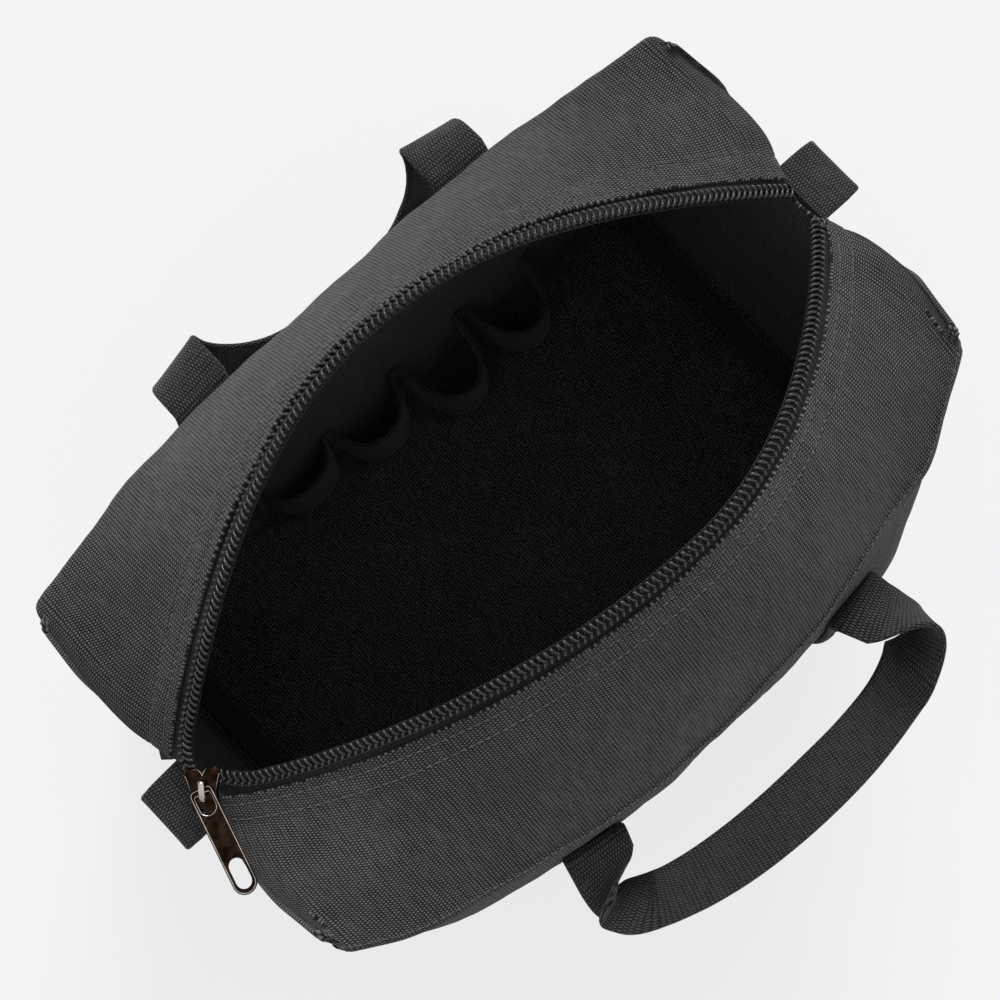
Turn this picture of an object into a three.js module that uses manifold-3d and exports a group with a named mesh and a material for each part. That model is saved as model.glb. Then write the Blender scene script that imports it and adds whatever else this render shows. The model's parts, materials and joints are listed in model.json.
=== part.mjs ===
// A small zippered canvas tool bag, standing on its base with its mouth held wide open.
// Millimetres, +Z up. +X runs along the zip towards its far end, -Y is the front of the bag.
// The origin lies on the floor under the middle of the bag.
import * as THREE from 'three';
import { mergeVertices } from 'three/addons/utils/BufferGeometryUtils.js';
import Module from 'manifold-3d';

// Driving dimensions of the body
const bagLength = 294;
const bagWidth = 154;
const bagHeight = 178;
const canvasThickness = 1.6;
const cornerRadius = 6;
const bottomRadius = 3.5;
const seamGap = 0.4;
const seatGap = 0.3;

// How far each long wall leans, sags and bellies out at its middle
const frontWall = { side: -1, bulge: 31, sag: 18, belly: 22, lean: 1 };
const rearWall = { side: 1, bulge: 13.5, sag: 15, belly: 6, lean: 1.8 };
const wallFullness = 2.6;
const wallSteps = 9;

// The short top edges: their dip at the zip and their swell beside it
const endDip = 18;
const endSwell = 3;
const endBelly = 3;

// The line of the zip on each side of the open mouth
const zipEndOffset = 4;
const frontMouth = { opening: 60, rise: 50, peak: 30, fullness: 0.8 };
const rearMouth = { opening: 56, rise: 66, peak: -6, fullness: 0.95 };
const riseFullness = 0.85;
const flapCrown = 4;
const endEaseReach = 70;
const flapSteps = 7;

// Zip
const toothPitch = 2.54;
const toothWidth = 5.7;
const toothHeight = 2.8;
const toothStartShare = 0.3;
const toothEndShare = 0.7;
const coilBack = 1.6;
const foldToTeeth = 5.4;
const tapeWidth = 14;
const tapeThickness = 0.8;
const tapeUnderTeeth = 1;
const tapeEndInset = { front: 9, rear: 1.5 };
const chainStart = { front: 26, rear: 16 };
const chainEnd = 6;

// Slider and puller
const sliderLength = 15;
const sliderFrontWidth = 12;
const sliderRearWidth = 9;
const sliderPlate = 1.5;
const sliderChannel = 3.4;
const sliderNotch = 2.4;
const sliderFlange = 1.2;
const sliderSlot = 1.6;
const sliderCorner = 2;
const sliderWedge = 1.5;
const crownLength = 8.5;
const crownWidth = 2.2;
const crownBar = 1.7;
const crownOpening = 3;
const sliderShift = -7.3;
const sliderYaw = 52;
const sliderRise = 2.4;
const pullerLength = 42;
const pullerWidth = 8.5;
const pullerThickness = 1.8;
const pullerHead = 2;
const pullerWindow = 8;
const pullerRail = 1.2;
const pullerHoleLength = 11;
const pullerHoleWidth = 5.6;
const pullerTail = 2;
const pullerPlace = { x: -0.2, y: 0.8 };
const pullerTurn = 22;
const pullerLift = 2.5;

// Webbing: end tabs, straps and handles
const webWidth = 25.4;
const webThickness = 2;
const tabReach = 19.5;
const tabDroop = { left: 14, right: 24 };
const tabShift = { left: -5, right: 3.5 };
const tabMargin = 1;
const strapSpacing = 125;
const rearStrapShift = 6;
const strapFoot = 6;
const strapRelief = 0.15;
const handleDrop = 12;
const handleStandoff = { front: 1.3, rear: 0.85 };

// Elastic tool loops inside the rear wall
const elasticWidth = 24;
const elasticThickness = 1.4;
const elasticBase = 14;
const elasticStart = -64;
const loopPitch = 38;
const loopFlat = 5;
const loopDepths = [12, 18, 28, 26];
const loopLean = 0.09;
const loopFullness = 0.8;

// Seam ridges outside and seam bindings inside
const ridgeWidth = 2.6;
const ridgeThickness = 1.6;
const bindingWidth = 12;
const bindingThickness = 1.2;
const bindingInset = 2;
const bindingStandoff = 2;
const bindingTopShare = 0.9;
const bindingFootShare = 0.07;
const liningRelief = 0.7;

// Finishes
const canvasFinish = { color: 0x3b3c3d, roughness: 0.95, metalness: 0 };
const webFinish = { color: 0x2b2b2c, roughness: 0.95, metalness: 0 };
const tapeFinish = { color: 0x1c1c1d, roughness: 0.9, metalness: 0 };
const nylonFinish = { color: 0x161617, roughness: 0.45, metalness: 0 };
const elasticFinish = { color: 0x1a1a1b, roughness: 0.85, metalness: 0 };
const metalFinish = { color: 0x8d8880, roughness: 0.22, metalness: 1 };

const halfLength = bagLength / 2;
const halfWidth = bagWidth / 2;
const endHalf = halfWidth - cornerRadius;
const walls = [frontWall, rearWall];
const mouths = new Map([[frontWall, frontMouth], [rearWall, rearMouth]]);

const wasm = await Module();
wasm.setup();

const bag = new THREE.Group();
const radians = THREE.MathUtils.degToRad;
const lerp = THREE.MathUtils.lerp;
const clamp = THREE.MathUtils.clamp;

// Adds a mesh under its name, in the group that carries it
function add(name, geometry, finish, parent = bag) {
  geometry.computeVertexNormals();
  const mesh = new THREE.Mesh(geometry, new THREE.MeshStandardMaterial(finish));
  mesh.name = name;
  parent.add(mesh);
  return mesh;
}

// Makes a geometry of points and triangles whose faces point outwards
function closedGeometry(points, triangles) {
  let volume = 0;
  for (const [a, b, c] of triangles) {
    volume += points[a].dot(new THREE.Vector3().crossVectors(points[b], points[c]));
  }
  const order = volume < 0 ? triangles.map(([a, b, c]) => [a, c, b]) : triangles;
  const geometry = new THREE.BufferGeometry();
  geometry.setAttribute('position', new THREE.Float32BufferAttribute(points.flatMap((p) => p.toArray()), 3));
  geometry.setIndex(order.flat());
  return geometry;
}

// A cloth panel: two grids of points, its outer and inner faces, joined round their rim
function sheet(outer, inner) {
  const columns = outer.length;
  const rows = outer[0].length;
  const points = [...outer.flat(), ...inner.flat()];
  const at = (layer, i, j) => layer * columns * rows + i * rows + j;
  const triangles = [];
  const quad = (a, b, c, d) => triangles.push([a, b, c], [a, c, d]);
  for (let i = 0; i < columns - 1; i += 1) {
    for (let j = 0; j < rows - 1; j += 1) {
      quad(at(0, i, j), at(0, i + 1, j), at(0, i + 1, j + 1), at(0, i, j + 1));
      quad(at(1, i, j), at(1, i, j + 1), at(1, i + 1, j + 1), at(1, i + 1, j));
    }
    quad(at(0, i, 0), at(1, i, 0), at(1, i + 1, 0), at(0, i + 1, 0));
    quad(at(0, i, rows - 1), at(0, i + 1, rows - 1), at(1, i + 1, rows - 1), at(1, i, rows - 1));
  }
  for (let j = 0; j < rows - 1; j += 1) {
    quad(at(0, 0, j), at(0, 0, j + 1), at(1, 0, j + 1), at(1, 0, j));
    quad(at(0, columns - 1, j), at(1, columns - 1, j), at(1, columns - 1, j + 1), at(0, columns - 1, j + 1));
  }
  return closedGeometry(points, triangles);
}

// A solid through a row of rings with the same number of points, closed at both ends
function loft(rings) {
  const count = rings[0].length;
  const points = rings.flat();
  const triangles = [];
  for (let i = 0; i < rings.length - 1; i += 1) {
    for (let k = 0; k < count; k += 1) {
      const next = (k + 1) % count;
      const a = i * count + k;
      const b = i * count + next;
      const c = a + count;
      const d = b + count;
      triangles.push([a, b, d], [a, d, c]);
    }
  }
  const last = (rings.length - 1) * count;
  for (let k = 1; k < count - 1; k += 1) {
    triangles.push([0, k + 1, k], [last, last + k, last + k + 1]);
  }
  return closedGeometry(points, triangles);
}

// Webbing along a path: its width follows the given directions, its edges are eased
function ribbon(path, across, width, thickness, eased = true) {
  const half = width / 2;
  const deep = thickness / 2;
  const ease = thickness / 3;
  const section = eased
    ? [[half, -ease / 2], [half, ease / 2], [half - ease, deep], [ease - half, deep],
      [-half, ease / 2], [-half, -ease / 2], [ease - half, -deep], [half - ease, -deep]]
    : [[half, -deep], [half, deep], [-half, deep], [-half, -deep]];
  const rings = path.map((p, i) => {
    const before = path[Math.max(i - 1, 0)];
    const after = path[Math.min(i + 1, path.length - 1)];
    const along = after.clone().sub(before).normalize();
    const normal = new THREE.Vector3().crossVectors(along, across[i]).normalize();
    const wide = new THREE.Vector3().crossVectors(normal, along).normalize();
    return section.map(([w, n]) => p.clone().addScaledVector(wide, w).addScaledVector(normal, n));
  });
  return loft(rings);
}

// A geometry as a solid that can be joined to others
function solid(geometry) {
  const bare = geometry.clone();
  bare.deleteAttribute('normal');
  bare.deleteAttribute('uv');
  const merged = mergeVertices(bare, 1e-4);
  const vertProperties = new Float32Array(merged.attributes.position.array);
  const triVerts = new Uint32Array(merged.index.array);
  return new wasm.Manifold(new wasm.Mesh({ numProp: 3, vertProperties, triVerts }));
}

function geometryOf(manifold) {
  const mesh = manifold.getMesh();
  const geometry = new THREE.BufferGeometry();
  geometry.setAttribute('position', new THREE.Float32BufferAttribute(mesh.vertProperties, 3));
  geometry.setIndex(Array.from(mesh.triVerts));
  return geometry;
}

// How far the mouth has spread a long edge at x, from 0 at the corners to 1 in the middle
function spread(x) {
  return 1 - Math.min(1, Math.abs(x) / halfLength) ** wallFullness;
}

// A station on the rim of a long wall: s runs 0 to 1 round one corner, along the side and round the other
const cornerArc = (Math.PI / 2) * cornerRadius;
const rimLength = bagLength - 2 * cornerRadius + 2 * cornerArc;
function station(s) {
  const run = clamp(s, 0, 1) * rimLength;
  const left = run < cornerArc;
  const right = run > rimLength - cornerArc;
  if (!left && !right) {
    return { s, x: cornerRadius - halfLength + run - cornerArc, y: halfWidth, nx: 0, ny: 1 };
  }
  const turn = (left ? run : rimLength - run) / cornerRadius;
  const hand = left ? -1 : 1;
  const x = hand * (halfLength - cornerRadius + cornerRadius * Math.cos(turn));
  const y = endHalf + cornerRadius * Math.sin(turn);
  return { s, x, y, nx: hand * Math.cos(turn), ny: Math.sin(turn) };
}

// Stations for a panel's columns, close together round the corners
function stations(straightSteps, cornerSteps, inset) {
  const first = inset / rimLength;
  const corner = cornerArc / rimLength;
  const list = [];
  for (let k = 0; k < cornerSteps; k += 1) list.push(lerp(first, corner, k / cornerSteps));
  for (let k = 0; k <= straightSteps; k += 1) list.push(lerp(corner, 1 - corner, k / straightSteps));
  for (let k = 1; k <= cornerSteps; k += 1) list.push(lerp(1 - corner, 1 - first, k / cornerSteps));
  return list.map(station);
}

// The columns that a long wall, its flap and its zip tape share
function panelStations() {
  return stations(20, 2, seamGap / 2);
}

// The height of a long wall's top edge
function wallTop(wall, x) {
  return bagHeight - wall.sag * spread(x);
}

// A point on a long wall's outside: v is 0 above the rounded foot and 1 at the top edge
function wallPoint(wall, at, v) {
  const z = lerp(bottomRadius, wallTop(wall, at.x), v);
  const out = spread(at.x) * (wall.bulge * Math.max(v, 0) ** wall.lean + wall.belly * Math.sin(Math.PI * v));
  return new THREE.Vector3(at.x, wall.side * (at.y + out), z);
}

// A point on the rounded foot of any wall: turn runs from 0, flat on the floor, to a quarter circle
function footPoint(side, at, turn) {
  const inset = bottomRadius * (1 - Math.sin(turn));
  const z = bottomRadius * (1 - Math.cos(turn));
  return new THREE.Vector3(at.x - at.nx * inset, side * (at.y - at.ny * inset), z);
}

// The top edge of an end panel, shared by the flaps: q is 0 at the tab and 1 at the corner
const tabZone = webWidth / 2 + tabMargin + Math.max(Math.abs(tabShift.left), Math.abs(tabShift.right));
function endEdge(hand, y) {
  const q = clamp((Math.abs(y) - tabZone) / (endHalf - tabZone), 0, 1);
  const x = hand * (halfLength + endSwell * Math.sin(Math.PI * q));
  return new THREE.Vector3(x, y, bagHeight - endDip * (1 - q) ** 1.5);
}

// A point on an end panel's outside
function endPoint(hand, y, v) {
  const edge = endEdge(hand, y);
  const z = lerp(bottomRadius, edge.z, v);
  const across = Math.cos((Math.PI / 2) * (y / endHalf));
  const out = (Math.abs(edge.x) - halfLength) * v * v + endBelly * Math.sin(Math.PI * v) ** 2 * across;
  return new THREE.Vector3(hand * (halfLength + out), y, z);
}

// The middle of the row of teeth at x, on one side of the mouth
function zipLine(wall, x) {
  const mouth = mouths.get(wall);
  const reach = x < mouth.peak ? halfLength + mouth.peak : halfLength - mouth.peak;
  const arch = Math.max(0, Math.cos((Math.PI / 2) * clamp((x - mouth.peak) / reach, -1, 1)));
  const y = zipEndOffset + mouth.opening * arch ** mouth.fullness;
  const z = bagHeight - endDip + mouth.rise * arch ** riseFullness;
  return new THREE.Vector3(x, wall.side * y, z);
}

// A point on a flap's outside: w is 0 at the long edge and 1 at the row of teeth
function flapPoint(wall, s, w) {
  const at = station(s);
  const edge = wallPoint(wall, at, 1);
  const x = lerp(-halfLength, halfLength, clamp(s, 0, 1));
  const teeth = zipLine(wall, x);
  const point = edge.clone().lerp(teeth, w);
  const hand = x < 0 ? -1 : 1;
  const near = clamp(1 - (halfLength - Math.abs(x)) / endEaseReach, 0, 1) ** 2;
  const flat = lerp(endHalf, zipEndOffset, w);
  const seam = endEdge(hand, wall.side * flat);
  const straightX = hand * halfLength;
  const straightZ = lerp(bagHeight, bagHeight - endDip, w);
  point.x += near * (seam.x - straightX);
  point.z += near * (seam.z - straightZ);
  const crown = flapCrown * Math.sin(Math.PI * clamp(w, 0, 1)) * (1 - near);
  point.z += crown * Math.SQRT1_2;
  point.y += wall.side * crown * Math.SQRT1_2;
  return point;
}

// The outward normal of a surface given as a function of two parameters
function normalOf(surface, u, v, outward, step = 0.004) {
  const pu = surface(u + step, v).sub(surface(u - step, v));
  const pv = surface(u, v + step).sub(surface(u, v - step));
  const normal = pu.cross(pv).normalize();
  return normal.dot(outward) < 0 ? normal.negate() : normal;
}

// The way from the outside to the inside of a mitred corner between two panels, one canvas deep
function mitre(first, second) {
  return first.clone().add(second).multiplyScalar(-canvasThickness / (1 + first.dot(second)));
}

const up = new THREE.Vector3(0, 0, 1);

// The outward direction on the rounded foot, from straight down to level
function footDirection(sideways, turn) {
  return sideways.multiplyScalar(Math.sin(turn)).addScaledVector(up, -Math.cos(turn));
}

function wallNormal(wall, s, v) {
  const at = station(s);
  const outward = new THREE.Vector3(at.nx, wall.side * at.ny, 0);
  return normalOf((a, b) => wallPoint(wall, station(a), b), clamp(s, 0.004, 0.996), v, outward);
}

function flapNormal(wall, s, w) {
  const outward = new THREE.Vector3(0, wall.side * 0.5, 1);
  return normalOf((a, b) => flapPoint(wall, a, b), clamp(s, 0.004, 0.996), w, outward);
}

function endNormal(hand, y, v) {
  return normalOf((a, b) => endPoint(hand, a, b), clamp(y, 0.6 - endHalf, endHalf - 0.6), v,
    new THREE.Vector3(hand, 0, 0));
}

// The way along a long wall at s and v, towards +X
function wallTangent(wall, s, v, step = 0.004) {
  return wallPoint(wall, station(s + step), v).sub(wallPoint(wall, station(s - step), v)).normalize();
}

// The parts of a wall's height: its rounded foot, then the rise to its top edge
function wallRows(footSteps, riseSteps) {
  const rows = [];
  for (let k = 0; k < footSteps; k += 1) rows.push({ turn: (Math.PI / 2) * (k / footSteps), v: 0 });
  for (let k = 0; k <= riseSteps; k += 1) rows.push({ turn: Math.PI / 2, v: k / riseSteps });
  return rows;
}

// A long wall, mitred to its flap along the top edge
function longPanel(wall) {
  const rows = wallRows(2, wallSteps);
  const columns = panelStations();
  const topInset = seamGap / 2 / bagHeight;
  const outer = [];
  const inner = [];
  for (const at of columns) {
    const outside = [];
    const inside = [];
    for (const row of rows) {
      const v = row.v === 1 ? 1 - topInset : row.v;
      const foot = row.turn < Math.PI / 2;
      const point = foot ? footPoint(wall.side, at, row.turn) : wallPoint(wall, at, v);
      const sideways = new THREE.Vector3(at.nx, wall.side * at.ny, 0);
      const footNormal = footDirection(sideways, row.turn);
      const normal = foot || row.v === 0 ? footNormal : wallNormal(wall, at.s, v);
      const depth = row.v === 1 ? mitre(wallNormal(wall, at.s, 1), flapNormal(wall, at.s, 0))
        : normal.multiplyScalar(-canvasThickness);
      outside.push(point);
      inside.push(point.clone().add(depth));
    }
    outer.push(outside);
    inner.push(inside);
  }
  return sheet(outer, inner);
}

// An end panel, mitred to the flaps along its dipped top edge
function endPanel(hand) {
  const rows = wallRows(2, 8);
  const topInset = seamGap / 2 / bagHeight;
  const halfColumns = flapRows(endHalf - zipEndOffset).map((w) => lerp(endHalf, zipEndOffset, w));
  const outer = [];
  const inner = [];
  for (const y of [...halfColumns.map((c) => -c), 0, ...halfColumns.toReversed()]) {
    const at = { x: hand * halfLength, y, nx: hand, ny: 0 };
    const outside = [];
    const inside = [];
    for (const row of rows) {
      const v = row.v === 1 ? 1 - topInset : row.v;
      const foot = row.turn < Math.PI / 2;
      const point = foot ? footPoint(1, at, row.turn) : endPoint(hand, y, v);
      const footNormal = footDirection(new THREE.Vector3(hand, 0, 0), row.turn);
      const normal = foot || row.v === 0 ? footNormal : endNormal(hand, y, v);
      const depth = row.v === 1 ? mitre(endNormal(hand, y, 1), endFlapNormal(hand, y))
        : normal.multiplyScalar(-canvasThickness);
      outside.push(point);
      inside.push(point.clone().add(depth));
    }
    outer.push(outside);
    inner.push(inside);
  }
  return sheet(outer, inner);
}

// The flap's normal where it meets an end panel at y
function endFlapNormal(hand, y) {
  const wall = y < 0 ? frontWall : rearWall;
  const w = clamp((endHalf - Math.abs(y)) / (endHalf - zipEndOffset), 0, 1);
  return flapNormal(wall, hand < 0 ? 0 : 1, w);
}

// The distance along a flap from its long edge to its teeth, at s
function flapSpan(wall, s) {
  return flapPoint(wall, s, 0).distanceTo(flapPoint(wall, s, 1));
}

// The rows of a flap, as shares of the way from its long edge to the teeth
function flapRows(span) {
  const first = seamGap / 2 / span;
  const last = 1 - foldToTeeth / span;
  return Array.from({ length: flapSteps + 1 }, (_, j) => lerp(first, last, j / flapSteps));
}

// A flap, from its mitred long edge to the fold beside the teeth
function flapPanel(wall) {
  const columns = panelStations();
  const outer = [];
  const inner = [];
  columns.forEach((at, i) => {
    const span = flapSpan(wall, at.s);
    const outside = [];
    const inside = [];
    for (const w of flapRows(span)) {
      const point = flapPoint(wall, at.s, w);
      const normal = flapNormal(wall, at.s, w);
      let depth = normal.clone().multiplyScalar(-canvasThickness);
      const hand = at.x < 0 ? -1 : 1;
      const atEnd = i === 0 || i === columns.length - 1;
      if (outside.length === 0) depth = mitre(wallNormal(wall, at.s, 1), flapNormal(wall, at.s, 0));
      else if (atEnd) depth = mitre(normal, endNormal(hand, point.y, 1));
      outside.push(point);
      inside.push(point.clone().add(depth));
    }
    outer.push(outside);
    inner.push(inside);
  });
  return sheet(outer, inner);
}

// The base: a plate inside the rounded foot of the walls
function basePanel() {
  const inset = bottomRadius + seatGap;
  const x = halfLength - inset;
  const y = halfWidth - inset;
  const r = cornerRadius - inset;
  const outline = new THREE.Shape();
  outline.absarc(x - r, y - r, r, 0, Math.PI / 2);
  outline.absarc(r - x, y - r, r, Math.PI / 2, Math.PI);
  outline.absarc(r - x, r - y, r, Math.PI, 1.5 * Math.PI);
  outline.absarc(x - r, r - y, r, 1.5 * Math.PI, 2 * Math.PI);
  const extrusion = { depth: canvasThickness, bevelEnabled: false, curveSegments: 4 };
  return new THREE.ExtrudeGeometry(outline, extrusion);
}

// The row of teeth as points, with the way to the mouth and the way out of the cloth at each
function zipFrames(wall) {
  const count = 900;
  const frames = [];
  let run = 0;
  for (let i = 0; i <= count; i += 1) {
    const s = i / count;
    const point = flapPoint(wall, s, 1);
    if (i > 0) run += point.distanceTo(frames[i - 1].point);
    frames.push({ s, point, run });
  }
  return frames;
}

function frameAt(wall, frames, run) {
  const i = clamp(frames.findIndex((f) => f.run >= run), 1, frames.length - 1);
  const a = frames[i - 1];
  const b = frames[i];
  const mix = (run - a.run) / (b.run - a.run);
  const s = lerp(a.s, b.s, mix);
  const point = a.point.clone().lerp(b.point, mix);
  const out = flapNormal(wall, s, 0.98);
  const behind = frames[Math.max(i - 4, 0)].point;
  const ahead = frames[Math.min(i + 3, frames.length - 1)].point;
  const along = ahead.clone().sub(behind).normalize();
  const inward = new THREE.Vector3().crossVectors(along, out).normalize();
  if (inward.y * wall.side > 0) inward.negate();
  return { s, point, out, inward };
}

// One side of the zip's teeth: a coil whose turns stand out as a row of blocks on a common back
function zipCoil(wall) {
  const frames = zipFrames(wall);
  const length = frames[frames.length - 1].run;
  const start = wall === frontWall ? chainStart.front : chainStart.rear;
  const teeth = Math.floor((length - start - chainEnd) / toothPitch);
  const back = -toothWidth / 2;
  const head = toothWidth / 2;
  const low = toothHeight / 4;
  const high = toothHeight / 2;
  const gapSection = [[back, -low], [back + coilBack, -low], [back + coilBack, low], [back, low]];
  const toothSection = [[back, -high], [head, -low], [head, low], [back, high]];
  const lift = high - canvasThickness;
  const rings = [];
  for (let k = 0; k < teeth; k += 1) {
    const steps = [[0, gapSection], [toothStartShare, toothSection], [toothEndShare, toothSection]];
    for (const [part, section] of steps) {
      const frame = frameAt(wall, frames, start + (k + part) * toothPitch);
      rings.push(section.map(([w, n]) => frame.point.clone()
        .addScaledVector(frame.inward, w)
        .addScaledVector(frame.out, n + lift)));
    }
  }
  return loft(rings);
}

// The woven tape under the teeth and the flap's fold
function zipTape(wall) {
  const outer = [];
  const inner = [];
  const rows = 2;
  const inset = wall === frontWall ? tapeEndInset.front : tapeEndInset.rear;
  for (const { s, x } of panelStations()) {
    if (x < inset - halfLength || x > halfLength - tapeEndInset.rear) continue;
    const span = flapSpan(wall, s);
    const outside = [];
    const inside = [];
    for (let j = 0; j <= rows; j += 1) {
      const offset = lerp(tapeUnderTeeth - tapeWidth, tapeUnderTeeth, j / rows);
      const point = flapPoint(wall, s, 1 + offset / span);
      const normal = flapNormal(wall, s, 1 + Math.min(offset, 0) / span);
      outside.push(point.clone().addScaledVector(normal, -canvasThickness - seatGap));
      inside.push(point.clone().addScaledVector(normal, -canvasThickness - seatGap - tapeThickness));
    }
    outer.push(outside);
    inner.push(inside);
  }
  return sheet(outer, inner);
}

// A sewn ridge that covers the mitre along a long top edge
function seamRidge(wall) {
  const path = [];
  const across = [];
  for (const at of stations(26, 2, 1.5)) {
    const bisector = wallNormal(wall, at.s, 1).add(flapNormal(wall, at.s, 0)).normalize();
    const point = wallPoint(wall, at, 1);
    path.push(point.addScaledVector(bisector, seatGap + ridgeThickness / 2));
    across.push(bisector);
  }
  return ribbon(path, across, ridgeThickness, ridgeWidth, false);
}

// The bound seam allowance inside one end: down the front wall, over the base, up the rear wall
function seamBinding(hand) {
  const x = hand * (halfLength - canvasThickness - endSwell - bindingInset - bindingWidth / 2);
  const s = stationAt(x);
  const depth = canvasThickness + seatGap + bindingThickness / 2;
  const wallDepth = depth + liningRelief;
  const path = [];
  const across = [];
  const put = (wall, v) => {
    path.push(wallPoint(wall, station(s), v).addScaledVector(wallNormal(wall, s, v), -wallDepth));
    across.push(wallTangent(wall, s, v));
  };
  const rise = 9;
  for (let k = 0; k <= rise; k += 1) put(frontWall, lerp(bindingTopShare, bindingFootShare, k / rise));
  const y = halfWidth - bottomRadius - canvasThickness - bindingStandoff;
  for (let k = 0; k <= 6; k += 1) {
    path.push(new THREE.Vector3(x, lerp(-y, y, k / 6), depth));
    across.push(new THREE.Vector3(1, 0, 0));
  }
  for (let k = 0; k <= rise; k += 1) put(rearWall, lerp(bindingFootShare, bindingTopShare, k / rise));
  return ribbon(path, across, bindingWidth, bindingThickness, false);
}

// A folded webbing tab sewn into an end seam: two layers joined by a round fold
function endTab(hand, droop, shift) {
  const layer = webThickness;
  const mid = layer / 2 + seatGap / 2;
  const reach = tabReach - layer - mid;
  const outline = new THREE.Shape();
  const r = mid + layer / 2;
  outline.moveTo(0, -r);
  outline.lineTo(reach, -r);
  outline.absarc(reach, 0, r, -Math.PI / 2, Math.PI / 2, false);
  outline.lineTo(0, r);
  outline.lineTo(0, seatGap / 2);
  outline.lineTo(reach, seatGap / 2);
  outline.lineTo(reach, -seatGap / 2);
  outline.lineTo(0, -seatGap / 2);
  outline.closePath();
  const extrusion = { depth: webWidth, bevelEnabled: false, curveSegments: 6 };
  const geometry = new THREE.ExtrudeGeometry(outline, extrusion);
  geometry.translate(0, 0, -webWidth / 2);
  geometry.rotateX(Math.PI / 2);
  geometry.rotateY(radians(droop));
  if (hand < 0) geometry.rotateZ(Math.PI);
  const drop = r + (r + seatGap) * Math.tan(radians(droop));
  const x = hand * (halfLength + seatGap + r * Math.sin(radians(droop)));
  geometry.translate(x, shift, bagHeight - endDip - drop);
  return geometry;
}

// The station of a long wall's column at x
function stationAt(x) {
  return (x + halfLength - cornerRadius + cornerArc) / rimLength;
}

// Where a strap lies on a long wall. Its handle hinges just above it, clear of its proudest edge
function strapLine(wall, x) {
  const s = stationAt(x);
  const top = wallTop(wall, x) - handleDrop;
  const vTop = (top - bottomRadius) / (wallTop(wall, x) - bottomRadius);
  const lift = seatGap + strapRelief + webThickness / 2;
  const point = (v) => wallPoint(wall, station(s), v).addScaledVector(wallNormal(wall, s, v), lift);
  const tangent = (v) => wallTangent(wall, s, v);
  const proud = wallPoint(wall, station(stationAt(x - Math.sign(x) * webWidth / 2)), vTop);
  const standoff = wall === frontWall ? handleStandoff.front : handleStandoff.rear;
  const reach = seatGap + strapRelief + webThickness + standoff;
  const hinge = new THREE.Vector3(x, proud.y + wall.side * reach, top);
  return { vTop, point, tangent, hinge };
}

// A strap sewn down a long wall from its handle to the base seam
function wallStrap(wall, x) {
  const line = strapLine(wall, x);
  const path = [];
  const across = [];
  const rows = [strapFoot / bagHeight];
  for (let k = 1; k / wallSteps < line.vTop - 0.02; k += 1) rows.push(k / wallSteps);
  rows.push(line.vTop);
  for (const v of rows) {
    path.push(line.point(v));
    across.push(line.tangent(v));
  }
  return ribbon(path, across, webWidth, webThickness);
}

// Handles: the points of their middle line as [x, out, up] in shares of half the strap spacing,
// and the way their upper face looks there. x is 1 at a strap. Out is away from the bag
const frontRoute = [
  { at: [-1, 0, 0], face: [0, 0, 1] },
  { at: [-1.03, 0.078, -0.005], face: [-0.06, 0.14, 0.99] },
  { at: [-1.06, 0.134, -0.022], face: [-0.35, 0.19, 0.92] },
  { at: [-1.1, 0.192, -0.054], face: [-0.66, -0.02, 0.75] },
  { at: [-1.15, 0.245, -0.099], face: [-0.78, -0.35, 0.52] },
  { at: [-1.21, 0.293, -0.15], face: [-0.76, -0.6, 0.25] },
  { at: [-1.25, 0.336, -0.198], face: [-0.86, -0.51, 0.03] },
  { at: [-1.26, 0.378, -0.222], face: [-0.88, 0.44, -0.2] },
  { at: [-1.22, 0.39, -0.243], face: [-0.28, 0.82, -0.5] },
  { at: [-1.15, 0.392, -0.259], face: [-0.29, 0.63, -0.72] },
  { at: [-1.06, 0.421, -0.278], face: [-0.33, 0.41, -0.85] },
  { at: [-0.95, 0.469, -0.299], face: [-0.26, 0.33, -0.91] },
  { at: [-0.69, 0.571, -0.326], face: [-0.18, 0.33, -0.93] },
  { at: [-0.41, 0.653, -0.339], face: [-0.1, 0.36, -0.93] },
  { at: [-0.11, 0.693, -0.342], face: [-0.01, 0.36, -0.93] },
  { at: [0.33, 0.677, -0.339], face: [0.04, 0.37, -0.93] },
  { at: [0.61, 0.65, -0.326], face: [0.12, 0.36, -0.92] },
  { at: [0.92, 0.595, -0.294], face: [0.19, 0.39, -0.9] },
  { at: [1.07, 0.558, -0.27], face: [0.28, 0.49, -0.82] },
  { at: [1.15, 0.539, -0.251], face: [0.34, 0.69, -0.64] },
  { at: [1.2, 0.53, -0.23], face: [0.43, 0.82, -0.37] },
  { at: [1.24, 0.509, -0.206], face: [0.91, 0.4, -0.11] },
  { at: [1.24, 0.459, -0.174], face: [0.96, -0.25, 0.11] },
  { at: [1.2, 0.398, -0.126], face: [0.87, -0.32, 0.38] },
  { at: [1.15, 0.331, -0.083], face: [0.74, -0.23, 0.63] },
  { at: [1.09, 0.261, -0.046], face: [0.56, -0.05, 0.83] },
  { at: [1.05, 0.197, -0.019], face: [0.29, 0.14, 0.95] },
  { at: [1.02, 0.134, -0.005], face: [0.02, 0.09, 1] },
  { at: [1, 0, 0], face: [0, 0, 1] },
];
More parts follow.
